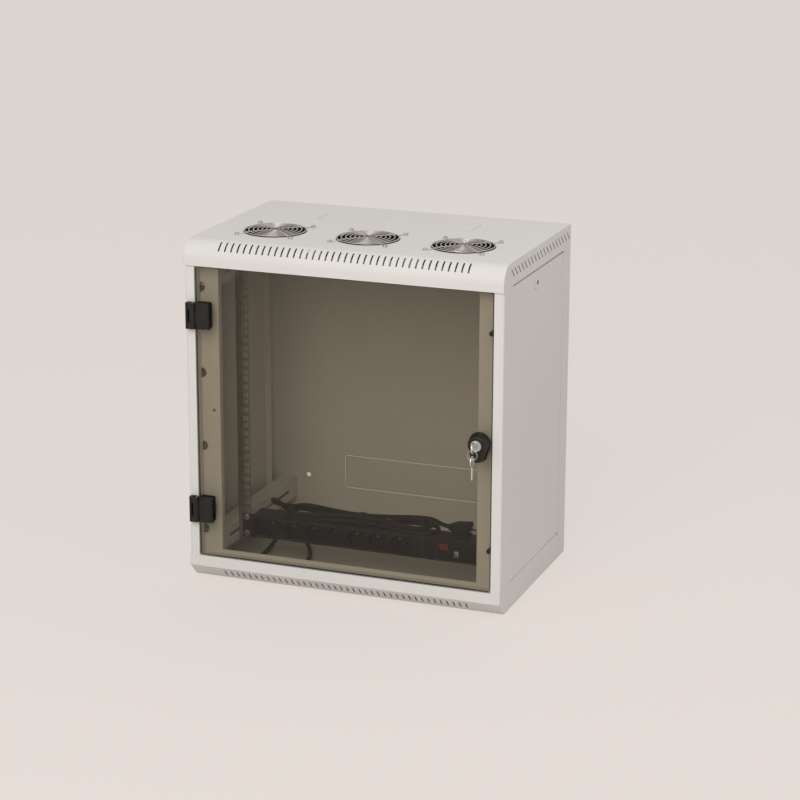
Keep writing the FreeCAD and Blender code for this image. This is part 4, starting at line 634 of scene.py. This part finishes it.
lead_points = LEAD_ROUTE + fold_run([
    (-0.160, 0.0330, 0.1025), (-0.128, 0.0335, 0.1025), (-0.095, 0.0275, 0.1025),
    (-0.058, 0.0145, 0.1029), (TIE_X, 0.0088, 0.1036), (0.030, 0.0132, 0.1029),
    (0.066, 0.0215, 0.1025), (0.1042, 0.0253, 0.1025),
]) + fold_turn(0.111, 0.0260, LOWER_LAYER, 75, -75) + fold_run([
    (0.1042, -0.0253, 0.1025), (0.066, -0.0205, 0.1025), (0.030, -0.0135, 0.1029),
    (TIE_X, -0.0088, 0.1036), (-0.060, -0.0146, 0.1029), (-0.100, -0.0235, 0.1025),
    (-0.129, -0.0252, 0.1025),
]) + fold_turn(-0.136, 0.0260, LOWER_LAYER, 255, 105) + fold_run([
    (-0.129, 0.0250, 0.1025), (-0.098, 0.0180, 0.1025), (-0.058, 0.0050, 0.1029),
    (TIE_X, 0.0, 0.1036), (0.030, 0.0040, 0.1042), (0.062, 0.0135, 0.1094),
    (0.0932, 0.0252, 0.1109),
]) + fold_turn(0.100, 0.0259, UPPER_LAYER, 75, -75) + fold_run([
    (0.0932, -0.0252, 0.1107), (0.058, -0.0185, 0.1110), (0.026, -0.0088, 0.1116),
    (TIE_X, -0.0045, 0.1118), (-0.060, -0.0095, 0.1114), (-0.094, -0.0205, 0.1109),
    (-0.121, -0.0252, 0.1107),
]) + fold_turn(-0.128, 0.0262, UPPER_LAYER, 255, 105) + fold_run([
    (-0.121, 0.0252, 0.1107), (-0.092, 0.0185, 0.1109), (-0.056, 0.0090, 0.1114),
    (TIE_X, 0.0046, 0.1118), (0.030, 0.0130, 0.1114), (0.062, 0.0262, 0.1108),
    (0.086, 0.0336, 0.1107), (0.1156, 0.0336, 0.1112), (0.1384, 0.0122, 0.1098),
    (0.158, 0.0120, 0.1082),
])

print(len(lead_points), "points with the folds")

# %% The lead as one curve
lead_curve = bpy.data.curves.new("mains_lead_cord", "CURVE")
lead_curve.dimensions = "3D"
lead_curve.resolution_u = 8
lead_curve.bevel_depth = LEAD_RADIUS
lead_curve.bevel_resolution = 3
lead_curve.use_fill_caps = True
spline = lead_curve.splines.new("NURBS")
spline.points.add(len(lead_points) - 1)
for point, place in zip(spline.points, lead_points):
    point.co = (*place, 1)
spline.order_u = 3
spline.use_endpoint_u = True
spline.use_smooth = True
lead = place_object("mains_lead_cord", lead_curve)
lead_curve.materials.append(FINISHES["black_rubber"])
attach(lead, "cabinet")
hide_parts("mains_lead", "lead_folds")

# %% [markdown]
# A copy without thickness is made into one chain of short edges, whose sum is the length of the
# lead.

# %% The lead as a chain of edges
plain = lead_curve.copy()
plain.bevel_depth = 0
probe = bpy.data.objects.new("probe", plain)
line = bpy.data.meshes.new_from_object(probe)
bpy.data.objects.remove(probe)

# %% [markdown]
# The tie is a strap with a hook-and-loop face, wrapped once round the folded runs and
# pressed shut on itself. It starts as a cube without its two end faces, which is a short
# square tube. Rounding the long edges and giving the wall a thickness makes it a strap.

# %% Tie
TIE_WIDE = 0.012
TIE_LOW = 0.0985
TIE_HIGH = 0.1164
TIE_ACROSS = 0.0275
TIE_ROUND = 0.0055
STRAP = 0.0011

tie = start_block("lead_tie", (TIE_X, FOLD_MIDDLE, (TIE_LOW + TIE_HIGH) / 2),
                  (TIE_WIDE, TIE_ACROSS, TIE_HIGH - TIE_LOW))
pick(tie, "FACE", lambda face: abs(face.normal.x) > 0.9)
bpy.ops.mesh.delete(type="ONLY_FACE")
round_edges(tie, TIE_ROUND, 6, lambda edge: near(middle(edge).x, TIE_X))
pick(tie, "FACE", lambda face: True)
bpy.ops.mesh.normals_make_consistent(inside=False)
stop_editing()
wall = tie.modifiers.new("strap", "SOLIDIFY")
wall.thickness = STRAP
wall.offset = -1
apply(wall)
close_piece(tie, "black_rubber", "cabinet", soft=0.0003)

# %% [markdown]
# The inline plug is a moulding that swells from the lead to a grip and carries three flat
# blades. A cube gives the block; cutting it across in five places gives rings of corners
# that can be drawn in for the neck and for the finger grip.

# %% Inline plug
PLUG_START = 0.154
PLUG_END = 0.196
PLUG_Y = -0.0505
PLUG_LOW = 0.0982
PLUG_TALL = 0.020
PLUG_WIDE = 0.028
PLUG_RINGS = (  # place along the plug, then the shares of width and height left there
    (PLUG_START, 0.36, 0.5), (0.158, 0.42, 0.56), (0.166, 0.80, 0.82), (0.174, 0.86, 0.94),
    (0.182, 0.84, 0.94), (0.188, 1, 1),
)
plug_middle = Vector(((PLUG_START + PLUG_END) / 2, PLUG_Y, PLUG_LOW + PLUG_TALL / 2))

plug = start_block("inline_plug", plug_middle, (PLUG_END - PLUG_START, PLUG_WIDE, PLUG_TALL))
for along, wide, tall in PLUG_RINGS[1:]:
    cut_across((along, 0, 0), (1, 0, 0))
for along, wide, tall in PLUG_RINGS:
    pick(plug, "VERT", lambda corner: near(corner.co.x, along))
    bpy.ops.transform.resize(value=(1, wide, tall), center_override=plug_middle)
pick(plug, "FACE", lambda face: face.normal.x > 0.9)
bpy.ops.mesh.inset(thickness=0.0016, depth=0)
bpy.ops.mesh.inset(thickness=0.0002, depth=-0.0012)
close_piece(plug, "black_rubber", "cabinet", ["mains_plug"], soft=0.0012)

# %% Blades of the plug
BLADE_SIZE = (0.0152, 0.002, 0.004)
BLADE_MIDDLE = PLUG_END + 0.0064
BLADE_TIP = BLADE_MIDDLE + BLADE_SIZE[0] / 2
blades = []
for index, (across, up) in enumerate(((-0.45, 0.35), (0.0, 0.65), (0.45, 0.35))):
    place = (BLADE_MIDDLE, PLUG_Y + PLUG_WIDE / 2 * across, PLUG_LOW + PLUG_TALL * up)
    blade = start_block(f"blade_{index}", place, BLADE_SIZE)
    round_edges(blade, 0.0007, 2, lambda edge: near(middle(edge).x, BLADE_TIP))
    stop_editing()
    blades.append(blade)
blades = join(blades, "plug_blades")
close_piece(blades, "bright_chrome", "cabinet", soft=0.0001)

# %% [markdown]
# The strain relief is a tapered rubber sleeve. Grooves let it bend a little with the lead.
# It is one disc pulled out step by step, each step drawn in or let out, as a wood turner
# would work down a profile.

# %% Strain relief
GLAND_FRONT = -0.0485
GLAND_RADIUS = 0.007
GLAND_STEPS = (  # how far back, then the radius there, in metres
    (0.0030, 0.0070), (0.0034, 0.0061), (0.0062, 0.0061), (0.0066, 0.0067),
    (0.0090, 0.0065), (0.0094, 0.0056), (0.0118, 0.0056), (0.0122, 0.0062),
    (0.0146, 0.0059), (0.0150, 0.0051), (0.0174, 0.0050), (0.0178, 0.0055),
    (0.0220, 0.0049),
)
gland_middle = Vector((LEAD_EXIT[0], GLAND_FRONT, LEAD_EXIT[2]))

gland = start_ring("strain_relief", gland_middle, GLAND_RADIUS, 28, FACING_FRONT, "NGON")
pick(gland, "FACE", lambda face: True)
depth, radius = 0.0, GLAND_RADIUS
for next_depth, next_radius in GLAND_STEPS:
    pull((0, next_depth - depth, 0))
    factor = next_radius / radius
    bpy.ops.transform.resize(
        value=(factor, 1, factor),
        center_override=(gland_middle.x, GLAND_FRONT + next_depth, gland_middle.z))
    depth, radius = next_depth, next_radius
close_piece(gland, "black_rubber", "cabinet", ["cord_gland"], soft=0.0002)

# %% [markdown]
# ## Finger guards
#
# Over each fan sits a guard of bright steel wire: seven rings, welded to four arms that end
# in eyelets under the fan's screws. The rings all come from one small circle, the section
# of the wire. It is copied outwards once per ring, and then everything is spun round the
# fan's middle. Each ring lies a little lower than the one inside it, so the guard is a
# very flat dome that closes over the edge of the hole. The arms are wires bent along a few
# points.

# %% Guard rings
FAN_Y = -0.0625
FAN_X = {"left": -0.180, "centre": 0.0, "right": 0.180}
GUARD_WIRE = 0.0009
RING_STEP = 0.0080
RING_DROP = 0.00035
RING_COUNT = 7
RING_HEIGHT = 0.63936
FULL_TURN = math.radians(360)

rings = start_ring("guard_rings", (RING_STEP, FAN_Y, RING_HEIGHT), GUARD_WIRE, 8, FACING_FRONT)
bpy.ops.mesh.select_all(action="SELECT")
for ring in range(RING_COUNT - 1):
    bpy.ops.mesh.duplicate_move(TRANSFORM_OT_translate={"value": (RING_STEP, 0, -RING_DROP)})
bpy.ops.mesh.select_all(action="SELECT")
bpy.ops.mesh.spin(steps=56, angle=FULL_TURN, center=(0, FAN_Y, 0), axis=(0, 0, 1))
bpy.ops.mesh.select_all(action="SELECT")
bpy.ops.mesh.remove_doubles(threshold=0.00001)
stop_editing()
print("rings", len(rings.data.polygons), "faces")

# %% Guard arms and eyelets
ARM_HEIGHT = 0.6381
FOOT_HEIGHT = 0.6359
BOLT_HALF = 0.0525
BOLT_REACH = BOLT_HALF * math.sqrt(2)
EYELET = 0.0037
EYELET_STEPS = 18


def bend_wire(name, routes, radius):
    """Wires of one thickness, each along its own list of points, made into one mesh."""
    curve = bpy.data.curves.new(name, "CURVE")
    curve.dimensions = "3D"
    curve.bevel_depth = radius
    curve.bevel_resolution = 2
    curve.use_fill_caps = True
    for route in routes:
        line = curve.splines.new("POLY")
        line.points.add(len(route) - 1)
        for point, place in zip(line.points, route):
            point.co = (*place, 1)
    select_only(place_object(name, curve))
    bpy.ops.object.convert(target="MESH")
    return bpy.context.active_object


arm = [(RING_STEP, ARM_HEIGHT), (0.0530, ARM_HEIGHT), (0.0542, ARM_HEIGHT - 0.0005),
       (0.0551, FOOT_HEIGHT + 0.0006), (0.0562, FOOT_HEIGHT), (BOLT_REACH - EYELET, FOOT_HEIGHT)]
arms = []
for quarter in range(4):
    turn = Matrix.Rotation(math.radians(45 + 90 * quarter), 4, "Z")
    route = [Vector((reach, 0, height)) for reach, height in arm]
    for step in range(1, EYELET_STEPS + 1):
        angle = math.radians(180 + 360 * step / EYELET_STEPS)
        route.append(Vector((BOLT_REACH + EYELET * math.cos(angle),
                             EYELET * math.sin(angle), FOOT_HEIGHT)))
    arms.append([turn @ place + Vector((0, FAN_Y, 0)) for place in route])
guard = join([rings, bend_wire("guard_arms", arms, GUARD_WIRE)], "guard_wires_centre")
guards = {"centre": guard}
for side in ("left", "right"):
    guards[side] = twin(guard, f"guard_wires_{side}", (FAN_X[side], 0, 0))
for side, piece in guards.items():
    close_piece(piece, slot_of[f"finger_guard_{side}"], "cabinet", [f"finger_guard_{side}"],
                smooth=60)

# %% [markdown]
# ## Screws
#
# A pan-head screw is a flat cylinder with a rounded top edge. The shank grows from its
# underside, and a cross for the driver is cut in its top with two thin blocks. One screw
# is enough: the rest are copies.

# %% Cutting one piece with another
def cut_with(piece, cutter):
    """Take a block or a bar out of a piece, then throw it away."""
    stop_editing()
    select_only(piece)
    chisel = piece.modifiers.new("chisel", "BOOLEAN")
    chisel.operation = "DIFFERENCE"
    chisel.solver = "EXACT"
    chisel.object = cutter
    apply(chisel)
    bpy.data.objects.remove(cutter)


print("cutting helper ready")

# %% Pan-head screw
def pan_head_screw(name, radius, head, shank_radius, shank):
    """A screw that stands on the origin, its head up and its shank down."""
    screw = start_bar(name, (0, 0, head / 2), radius, head, corners=28)
    round_edges(screw, head * 0.45, 3, lambda edge: near(middle(edge).z, head))
    pick(screw, "FACE", lambda face: face.normal.z < -0.9)
    bpy.ops.mesh.inset(thickness=radius - shank_radius, depth=0)
    pull((0, 0, -shank))
    stop_editing()
    long, narrow, deep = radius * 1.1, radius * 0.22, head * 1.2
    for size in ((long, narrow, deep), (narrow, long, deep)):
        cut_with(screw, start_block("driver", (0, 0, head * 1.05), size))
    return screw


print("screw pattern ready")

# %% Fan screws
SCREW_SEAT = 0.6368
screw = pan_head_screw("fan_screw_pattern", 0.0039, 0.0020, 0.0020, 0.0220)
screws = []
for side, x in FAN_X.items():
    for across, along in ((-1, -1), (1, -1), (1, 1), (-1, 1)):
        turn = Matrix.Rotation(math.radians(23 * len(screws)), 4, "Z")
        place = Vector((x + BOLT_HALF * across, FAN_Y + BOLT_HALF * along, SCREW_SEAT))
        screws.append(twin(screw, f"fan_screw_{len(screws)}", place, turn))
bpy.data.objects.remove(screw)
fan_screws = join(screws, "fan_pan_screws")
close_piece(fan_screws, slot_of["fan_screws"], "cabinet", ["fan_screws"])

# %% Rack screws
RACK_HOLE_X = 0.23255
RACK_HOLES_Z = (0.06035, 0.09210)
EAR_FRONT = -0.0895
screw = pan_head_screw("rack_screw_pattern", 0.0060, 0.0029, 0.0029, 0.0125)
to_front = Matrix.Rotation(math.radians(90), 4, "X")
screws = []
for side in (-1, 1):
    for height in RACK_HOLES_Z:
        turn = to_front @ Matrix.Rotation(math.radians(31 * len(screws)), 4, "Z")
        screws.append(twin(screw, f"rack_screw_{len(screws)}",
                           Vector((RACK_HOLE_X * side, EAR_FRONT, height)), turn))
bpy.data.objects.remove(screw)
rack_screws = join(screws, "rack_pan_screws")
close_piece(rack_screws, slot_of["rack_screws"], "cabinet", ["rack_screws"])

# %% [markdown]
# ## Hinges
#
# Two moulded hinges carry the door. The half on the post is a narrow ribbed pad with a
# knuckle at each end. The half on the glass is a broad cushion that clamps the pane, with
# one long knuckle between the other two. Both pads are cubes. Planes cut them where a part
# of a side has to grow out to its knuckle, and that part is then extruded.

# %% A tube from a bar
def tube(name, place, radius, bore, length, rotation=UPRIGHT):
    """Both ends of a bar are drawn in, taken away and bridged through its middle."""
    piece = start_bar(name, place, radius, length, rotation, corners=40)
    pick(piece, "FACE", lambda face: len(face.verts) > 4)
    bpy.ops.mesh.inset(thickness=radius - bore, use_individual=True)
    pick(piece, "FACE", lambda face: len(face.verts) > 4)
    bpy.ops.mesh.delete(type="FACE")
    pick(piece, "EDGE", lambda edge: edge.is_boundary)
    bpy.ops.mesh.bridge_edge_loops()
    stop_editing()
    return piece


print("tube helper ready")

# %% Hinge half on the post
HINGE_X = -0.284
HINGE_Y = -0.1995
HINGE_TALL = 0.048
KNUCKLE = 0.012
KNUCKLE_RADIUS = 0.006
PIN_RADIUS = 0.00205
POST_PAD_LEFT = -0.296
POST_PAD_FRONT = -0.2045
POST_PAD_SIZE = (0.005, 0.012, HINGE_TALL)
POST_PAD_GAP = 0.007
GROOVES = ((-0.2936, -0.2929), (-0.2922, -0.2915))
GROOVE_DEEP = 0.0006


def hinge_on_post(name, height):
    pad = start_block(name, (-0.2935, -0.1985, height), POST_PAD_SIZE)
    reach = HINGE_TALL / 2 - KNUCKLE
    for level in (height - reach, height + reach):
        cut_across((0, 0, level), (0, 0, 1))
    pick(pad, "FACE", lambda face: face.normal.x > 0.9 and abs(middle(face).z - height) > reach)
    pull((POST_PAD_GAP, 0, 0))
    round_edges(pad, 0.0022, 4, lambda edge: near(middle(edge).x, POST_PAD_LEFT)
                and near(middle(edge).y, POST_PAD_FRONT))
    for groove in GROOVES:
        for x in groove:
            cut_across((x, 0, 0), (1, 0, 0))
    pick(pad, "FACE", lambda face: face.normal.y < -0.9
         and any(low < middle(face).x < high for low, high in GROOVES))
    pull((0, GROOVE_DEEP, 0))
    stop_editing()
    knuckles = [
        tube(f"{name}_knuckle_{sign}", (HINGE_X, HINGE_Y, height + sign * (reach + KNUCKLE / 2)),
             KNUCKLE_RADIUS, PIN_RADIUS, KNUCKLE)
        for sign in (-1, 1)]
    return join([pad] + knuckles, name)


print("hinge half on the post ready")

# %% Hinge half on the glass
GLASS_PAD_RIGHT = -0.252
GLASS_PAD_FRONT = -0.2005
GLASS_PAD_SIZE = (0.0257, 0.008, HINGE_TALL)
GLASS_PAD_GAP = 0.0063
KNUCKLE_BACK = -0.1935
KNUCKLE_PLAY = 0.0003


def hinge_on_glass(name, height):
    pad = start_block(name, (-0.26485, -0.1965, height), GLASS_PAD_SIZE)
    reach = HINGE_TALL / 2 - KNUCKLE - KNUCKLE_PLAY
    round_edges(pad, 0.0052, 6, lambda edge: near(middle(edge).x, GLASS_PAD_RIGHT)
                and near(middle(edge).y, GLASS_PAD_FRONT))
    for level in (height - reach, height + reach):
        cut_across((0, 0, level), (0, 0, 1))
    cut_across((0, KNUCKLE_BACK, 0), (0, 1, 0))
    pick(pad, "FACE", lambda face: face.normal.x < -0.9
         and abs(middle(face).z - height) < reach and middle(face).y < KNUCKLE_BACK)
    pull((-GLASS_PAD_GAP, 0, 0))
    stop_editing()
    knuckle = tube(f"{name}_knuckle", (HINGE_X, HINGE_Y, height), KNUCKLE_RADIUS,
                   PIN_RADIUS, reach * 2)
    return join([pad, knuckle], name)


print("hinge half on the glass ready")

# %% Both hinges
for level, height in (("lower", 0.1355), ("upper", 0.4995)):
    close_piece(hinge_on_post(f"hinge_ribbed_pad_{level}", height), "black_plastic",
                "cabinet", [f"hinge_post_leaf_{level}"], soft=0.0006)
    close_piece(hinge_on_glass(f"hinge_cushion_{level}", height), "black_plastic",
                "door", [f"hinge_glass_leaf_{level}"], soft=0.0009)

# %% [markdown]
# ## The door lock
#
# The housing is a teardrop that narrows towards its face. It begins as a disc; the lower
# half of its rim is drawn smaller and pulled down, which leaves two arcs and two straight
# flanks. An inset with a depth then lifts the face and draws it in at one stroke.

# %% Lock housing
LOCK_X = 0.259
LOCK_Z = 0.320
GLASS_FRONT = -0.1925
HOUSING_RADIUS = 0.020
HOUSING_OUT = 0.020
HOUSING_FOOT = 0.001
TAIL_SHARE = 0.7
TAIL_DROP = 0.021
BARREL_HOLE = 0.00978

lock_foot = (LOCK_X, GLASS_FRONT, LOCK_Z)
housing = start_ring("lock_teardrop", lock_foot, HOUSING_RADIUS, 72, FACING_FRONT, "NGON")
pick(housing, "VERT", lambda corner: corner.co.z < LOCK_Z - 0.0057)
bpy.ops.transform.resize(value=(TAIL_SHARE, 1, TAIL_SHARE), center_override=lock_foot)
bpy.ops.transform.translate(value=(0, 0, -TAIL_DROP))
pick(housing, "FACE", lambda face: True)
pull((0, -HOUSING_FOOT, 0))
bpy.ops.mesh.inset(thickness=0.004, depth=HOUSING_OUT - HOUSING_FOOT)
round_edges(housing, 0.0028, 5, lambda edge: near(middle(edge).y, GLASS_FRONT - HOUSING_OUT))
bpy.ops.mesh.select_all(action="SELECT")
bpy.ops.mesh.normals_make_consistent(inside=False)
stop_editing()
cut_with(housing, start_bar("drill", (LOCK_X, -0.205, LOCK_Z), BARREL_HOLE, 0.06, FACING_FRONT))
collar = tube("collar", (LOCK_X, -0.2127, LOCK_Z), 0.0116, BARREL_HOLE, 0.0014, FACING_FRONT)
housing = join([housing, collar], "lock_teardrop")
close_piece(housing, "black_plastic", "door", ["lock_housing"], soft=0.0003, smooth=30)

# %% [markdown]
# The barrel is a chromed tube through the housing, the glass and its plate nut. Its face
# has a fine step. The plug inside it turns with the key.

# %% Barrel
barrel = tube("lock_chrome_barrel", (LOCK_X, -0.197, LOCK_Z), 0.00975, 0.00655, 0.035,
              FACING_FRONT)
bpy.ops.object.mode_set(mode="EDIT")
pick(barrel, "FACE", lambda face: face.normal.y < -0.9)
bpy.ops.mesh.inset(thickness=0.0008, depth=-0.0004)
close_piece(barrel, "bright_chrome", "door", ["lock_barrel"], soft=0.0003)

# %% [markdown]
# ## Keys and ring
#
# A flat key is a round bow with an eye, a blade with a groove along each side, and notches.
# The bow is pressed a little thinner inside its rim. One key stays in the lock. The other
# hangs from the ring, a quarter turn round, as a copy of the first. The ring is a split
# ring: two coils of wire that lie side by side.

# %% Bow of the key
KEY_SHEET = 0.002
BOW = Vector((LOCK_X, -0.2285, LOCK_Z))
BOW_RADIUS = 0.010
EYE_OUT = 0.0045
EYE_RADIUS = 0.0032

bow = start_bar("key_bow", BOW, BOW_RADIUS, KEY_SHEET, FACING_SIDE)
pick(bow, "FACE", lambda face: abs(face.normal.x) > 0.9)
bpy.ops.mesh.inset(thickness=0.0018, depth=0, use_individual=True)
bpy.ops.mesh.inset(thickness=0.0003, depth=-0.0003, use_individual=True)
stop_editing()
eye = BOW - Vector((0, EYE_OUT, 0))
cut_with(bow, start_bar("drill", eye, EYE_RADIUS, 0.01, FACING_SIDE))
print("bow", len(bow.data.polygons), "faces")

# %% Blade of the key, and the spare key
NOTCHES = (0.0016, 0.0008, 0.0019, 0.0011, 0.0004)
NOTCH_WIDE = 0.0016
BLADE_TALL = 0.006
GROOVE_UP = 0.0008
blade_start = BOW.y + 0.0088
blade_end = BOW.y + 0.034
first_notch = BOW.y + 0.0165

shaft = start_block("key_shaft", (LOCK_X, (blade_start + blade_end) / 2, LOCK_Z),
                    (KEY_SHEET * 0.96, blade_end - blade_start, BLADE_TALL))
for step in range(len(NOTCHES) * 2):
    cut_across((0, first_notch + NOTCH_WIDE * step, 0), (0, 1, 0))
for step, notch in enumerate(NOTCHES):
    low = first_notch + NOTCH_WIDE * 2 * step
    pick(shaft, "VERT", lambda corner: near(corner.co.z, LOCK_Z - BLADE_TALL / 2)
         and (near(corner.co.y, low) or near(corner.co.y, low + NOTCH_WIDE)))
    bpy.ops.transform.translate(value=(0, 0, notch))
pick(shaft, "VERT", lambda corner: near(corner.co.y, blade_end))
bpy.ops.transform.resize(value=(1, 1, 0.5),
                         center_override=(LOCK_X, blade_end, LOCK_Z + GROOVE_UP))
stop_editing()
for side in (-1, 1):
    place = (LOCK_X + side * KEY_SHEET * 0.48, blade_end, LOCK_Z + GROOVE_UP)
    cut_with(shaft, start_block("groove", place, (0.0009, 0.045, 0.0012)))
key = join([bow, shaft], "key_in_lock")

RING_Y = -0.233
hang = Matrix.Rotation(math.radians(-90), 4, "X")
spare = twin(key, "key_on_ring", Vector((LOCK_X, RING_Y, 0.29765)),
             hang @ Matrix.Translation(-BOW))
close_piece(key, slot_of["key"], "lock_plug", ["key"], soft=0.00015)
close_piece(spare, slot_of["spare_key"], "spare_key", ["spare_key"], soft=0.00015)

# %% Split ring
RING_WIRE = 0.00042
RING_RADIUS = 0.009
COIL_GAP = 0.00076
ring_middle = Vector((LOCK_X, RING_Y, 0.3089))

first_coil = ring_middle + Vector((RING_RADIUS, -COIL_GAP / 2, 0))
ring = start_ring("split_ring", first_coil, RING_WIRE, 10)
bpy.ops.mesh.select_all(action="SELECT")
bpy.ops.mesh.duplicate_move(TRANSFORM_OT_translate={"value": (0, COIL_GAP, 0)})
bpy.ops.mesh.select_all(action="SELECT")
bpy.ops.mesh.spin(steps=48, angle=FULL_TURN, center=ring_middle, axis=(0, 1, 0))
close_piece(ring, slot_of["key_ring"], "key_hanger", ["key_ring"], smooth=60)

# %% [markdown]
# ## Small parts from the frame
#
# Fans, locks, sockets and clamps already have their whole shape in the frame, but with hard
# edges and in loose triangles. A copy of each is welded, its flat areas are made whole
# again, and its edges are rounded by the radius that its tool leaves. The copy stands for
# the part it came from.

# %% Softened copies
body_of = {}
for body_name, body in frame["bodies"].items():
    for name, node in nodes.items():
        above = node.parent
        while above is not None and above != body:
            above = above.parent
        if above == body and name not in body_of:
            body_of[name] = body_name


def bench_copy(name, new_name):
    """A copy of a part's mesh on the bench, welded, in edit mode."""
    mesh = nodes[name].data.copy()
    mesh.name = new_name
    mesh.transform(nodes[name].matrix_world)
    piece = place_object(new_name, mesh)
    select_only(piece)
    bpy.ops.object.mode_set(mode="EDIT")
    bpy.ops.mesh.select_all(action="SELECT")
    bpy.ops.mesh.remove_doubles(threshold=0.00001)
    bpy.ops.mesh.dissolve_limited(angle_limit=math.radians(1))
    return piece


def soften(name, new_name, soft, smooth=38, finish=None):
    """A new piece from a copy of a part, with rounded edges."""
    close_piece(bench_copy(name, new_name), slot_of[name], body_of[name], [name],
                soft=soft, smooth=smooth, finish=finish, weigh=soft > 0)


for side in ("left", "right"):
    soften(f"side_lock_{side}", f"side_lock_cap_{side}", 0.0005)
for side in FAN_X:
    soften(f"fan_frame_{side}", f"fan_housing_{side}", 0.0006)
    soften(f"fan_rotor_{side}", f"fan_blades_{side}", 0.0, smooth=50)
for level in ("lower", "upper"):
    soften(f"hinge_clamp_{level}", f"hinge_clamp_plate_{level}", 0.0006)
for name, new_name, soft in (
        ("lock_plug", "lock_turning_plug", 0.0002), ("lock_cam", "lock_tongue", 0.0003),
        ("lock_backplate", "lock_plate_nut", 0.0005), ("door_buffers", "rubber_buffers", 0.0008),
        ("strip_sockets", "socket_mouldings", 0.0004), ("strip_ends", "strip_end_caps", 0.0005),
        ("strip_rocker", "red_rocker", 0.0004), ("clamp_screws", "clamp_pan_screws", 0.0004)):
    soften(name, new_name, soft)

# %% [markdown]
# The quarter-turn locks in the side panels have a painted cap, and in it a plug with a slot
# for a flat key. The plug's black is painted shade, for the dark of the key recess. The earth
# pins deep in the sockets get a finish of their own, darkened as painted shade for the shadow
# deep inside the sockets.

# %% Side lock plugs and earth pins
# Painted shade: the plug gets the black coated finish so that it reads as the dark key recess.
for side in ("left", "right"):
    soften(f"side_lock_cam_{side}", f"side_lock_plug_{side}", 0.0003, finish=black_steel)

# Painted shade: on the earth pins this dark base colour stands for the shadow deep in the
# sockets; on the strip dividers it is their dull steel.
dull_steel_and_pin_shade, tree, shader = new_finish("dull_steel_and_pin_shade", 0.5, metallic=1.0)
drift(tree, shader.inputs["Base Color"], noise_at(tree, 300.0),
      (0.16, 0.15, 0.13), (0.22, 0.205, 0.18))
soften("earth_pins", "socket_earth_pins", 0.0006, finish=dull_steel_and_pin_shade)

# %% [markdown]
# A side panel is one sheet with its rim folded in, so the outer corner of the rim is round.
# Only the four long edges of the outer face are bevelled. They are the ones that lie at the
# panel's greatest width and also at one end of its length or height. Smooth shading would
# make the large flat face look swollen, so here the large faces lead the shading.

# %% Side panels
FOLD_ROUND = 0.0017
for side, sign in (("left", -1), ("right", 1)):
    name = f"side_panel_{side}"
    panel = bench_copy(name, f"side_panel_sheet_{side}")
    corners = [corner.co.copy() for corner in panel.data.vertices]
    outside = max(corner.x * sign for corner in corners)
    borders = [(axis, limit([corner[axis] for corner in corners]))
               for axis in (1, 2) for limit in (min, max)]

    def on_rim(edge):
        """True for the four border edges of the outer face."""
        ends = [corner.co for corner in edge.verts]
        return all(near(end.x * sign, outside) for end in ends) and any(
            all(near(end[axis], limit) for end in ends) for axis, limit in borders)

    round_edges(panel, FOLD_ROUND, 4, on_rim)
    close_piece(panel, slot_of[name], body_of[name], [name], smooth=50, weigh=True)

# %% [markdown]
# Between the last socket and the switch the strip is made of blank modules. Thin dividers
# of dull steel stand a little proud of their joints, and beside the switch a plain pale
# plate covers the place of a rating plate. They are small blocks with rounded edges.

# %% Strip dividers and blank plate
STRIP_FACE = -0.091
STRIP_MIDDLE = 0.0762
DIVIDER_SIZE = (0.0008, 0.0022, 0.0330)
PLATE_THICK = 0.0008
dividers = []
for index, x in enumerate((0.101, 0.117, 0.145)):
    rib = start_block(f"divider_{index}", (x, STRIP_FACE + 0.0002, STRIP_MIDDLE), DIVIDER_SIZE)
    round_edges(rib, 0.0002, 2, lambda edge: middle(edge).y < STRIP_FACE)
    stop_editing()
    dividers.append(rib)
close_piece(join(dividers, "strip_dividers"), "zinc_steel", "cabinet", finish=dull_steel_and_pin_shade)

plate = start_block("blank_plate", (0.182, STRIP_FACE, 0.0705), (0.0085, PLATE_THICK, 0.0120))
round_edges(plate, 0.0012, 3, lambda edge: near(middle(edge).y, STRIP_FACE))
close_piece(plate, "zinc_steel", "cabinet", soft=0.0001, finish=nickel)
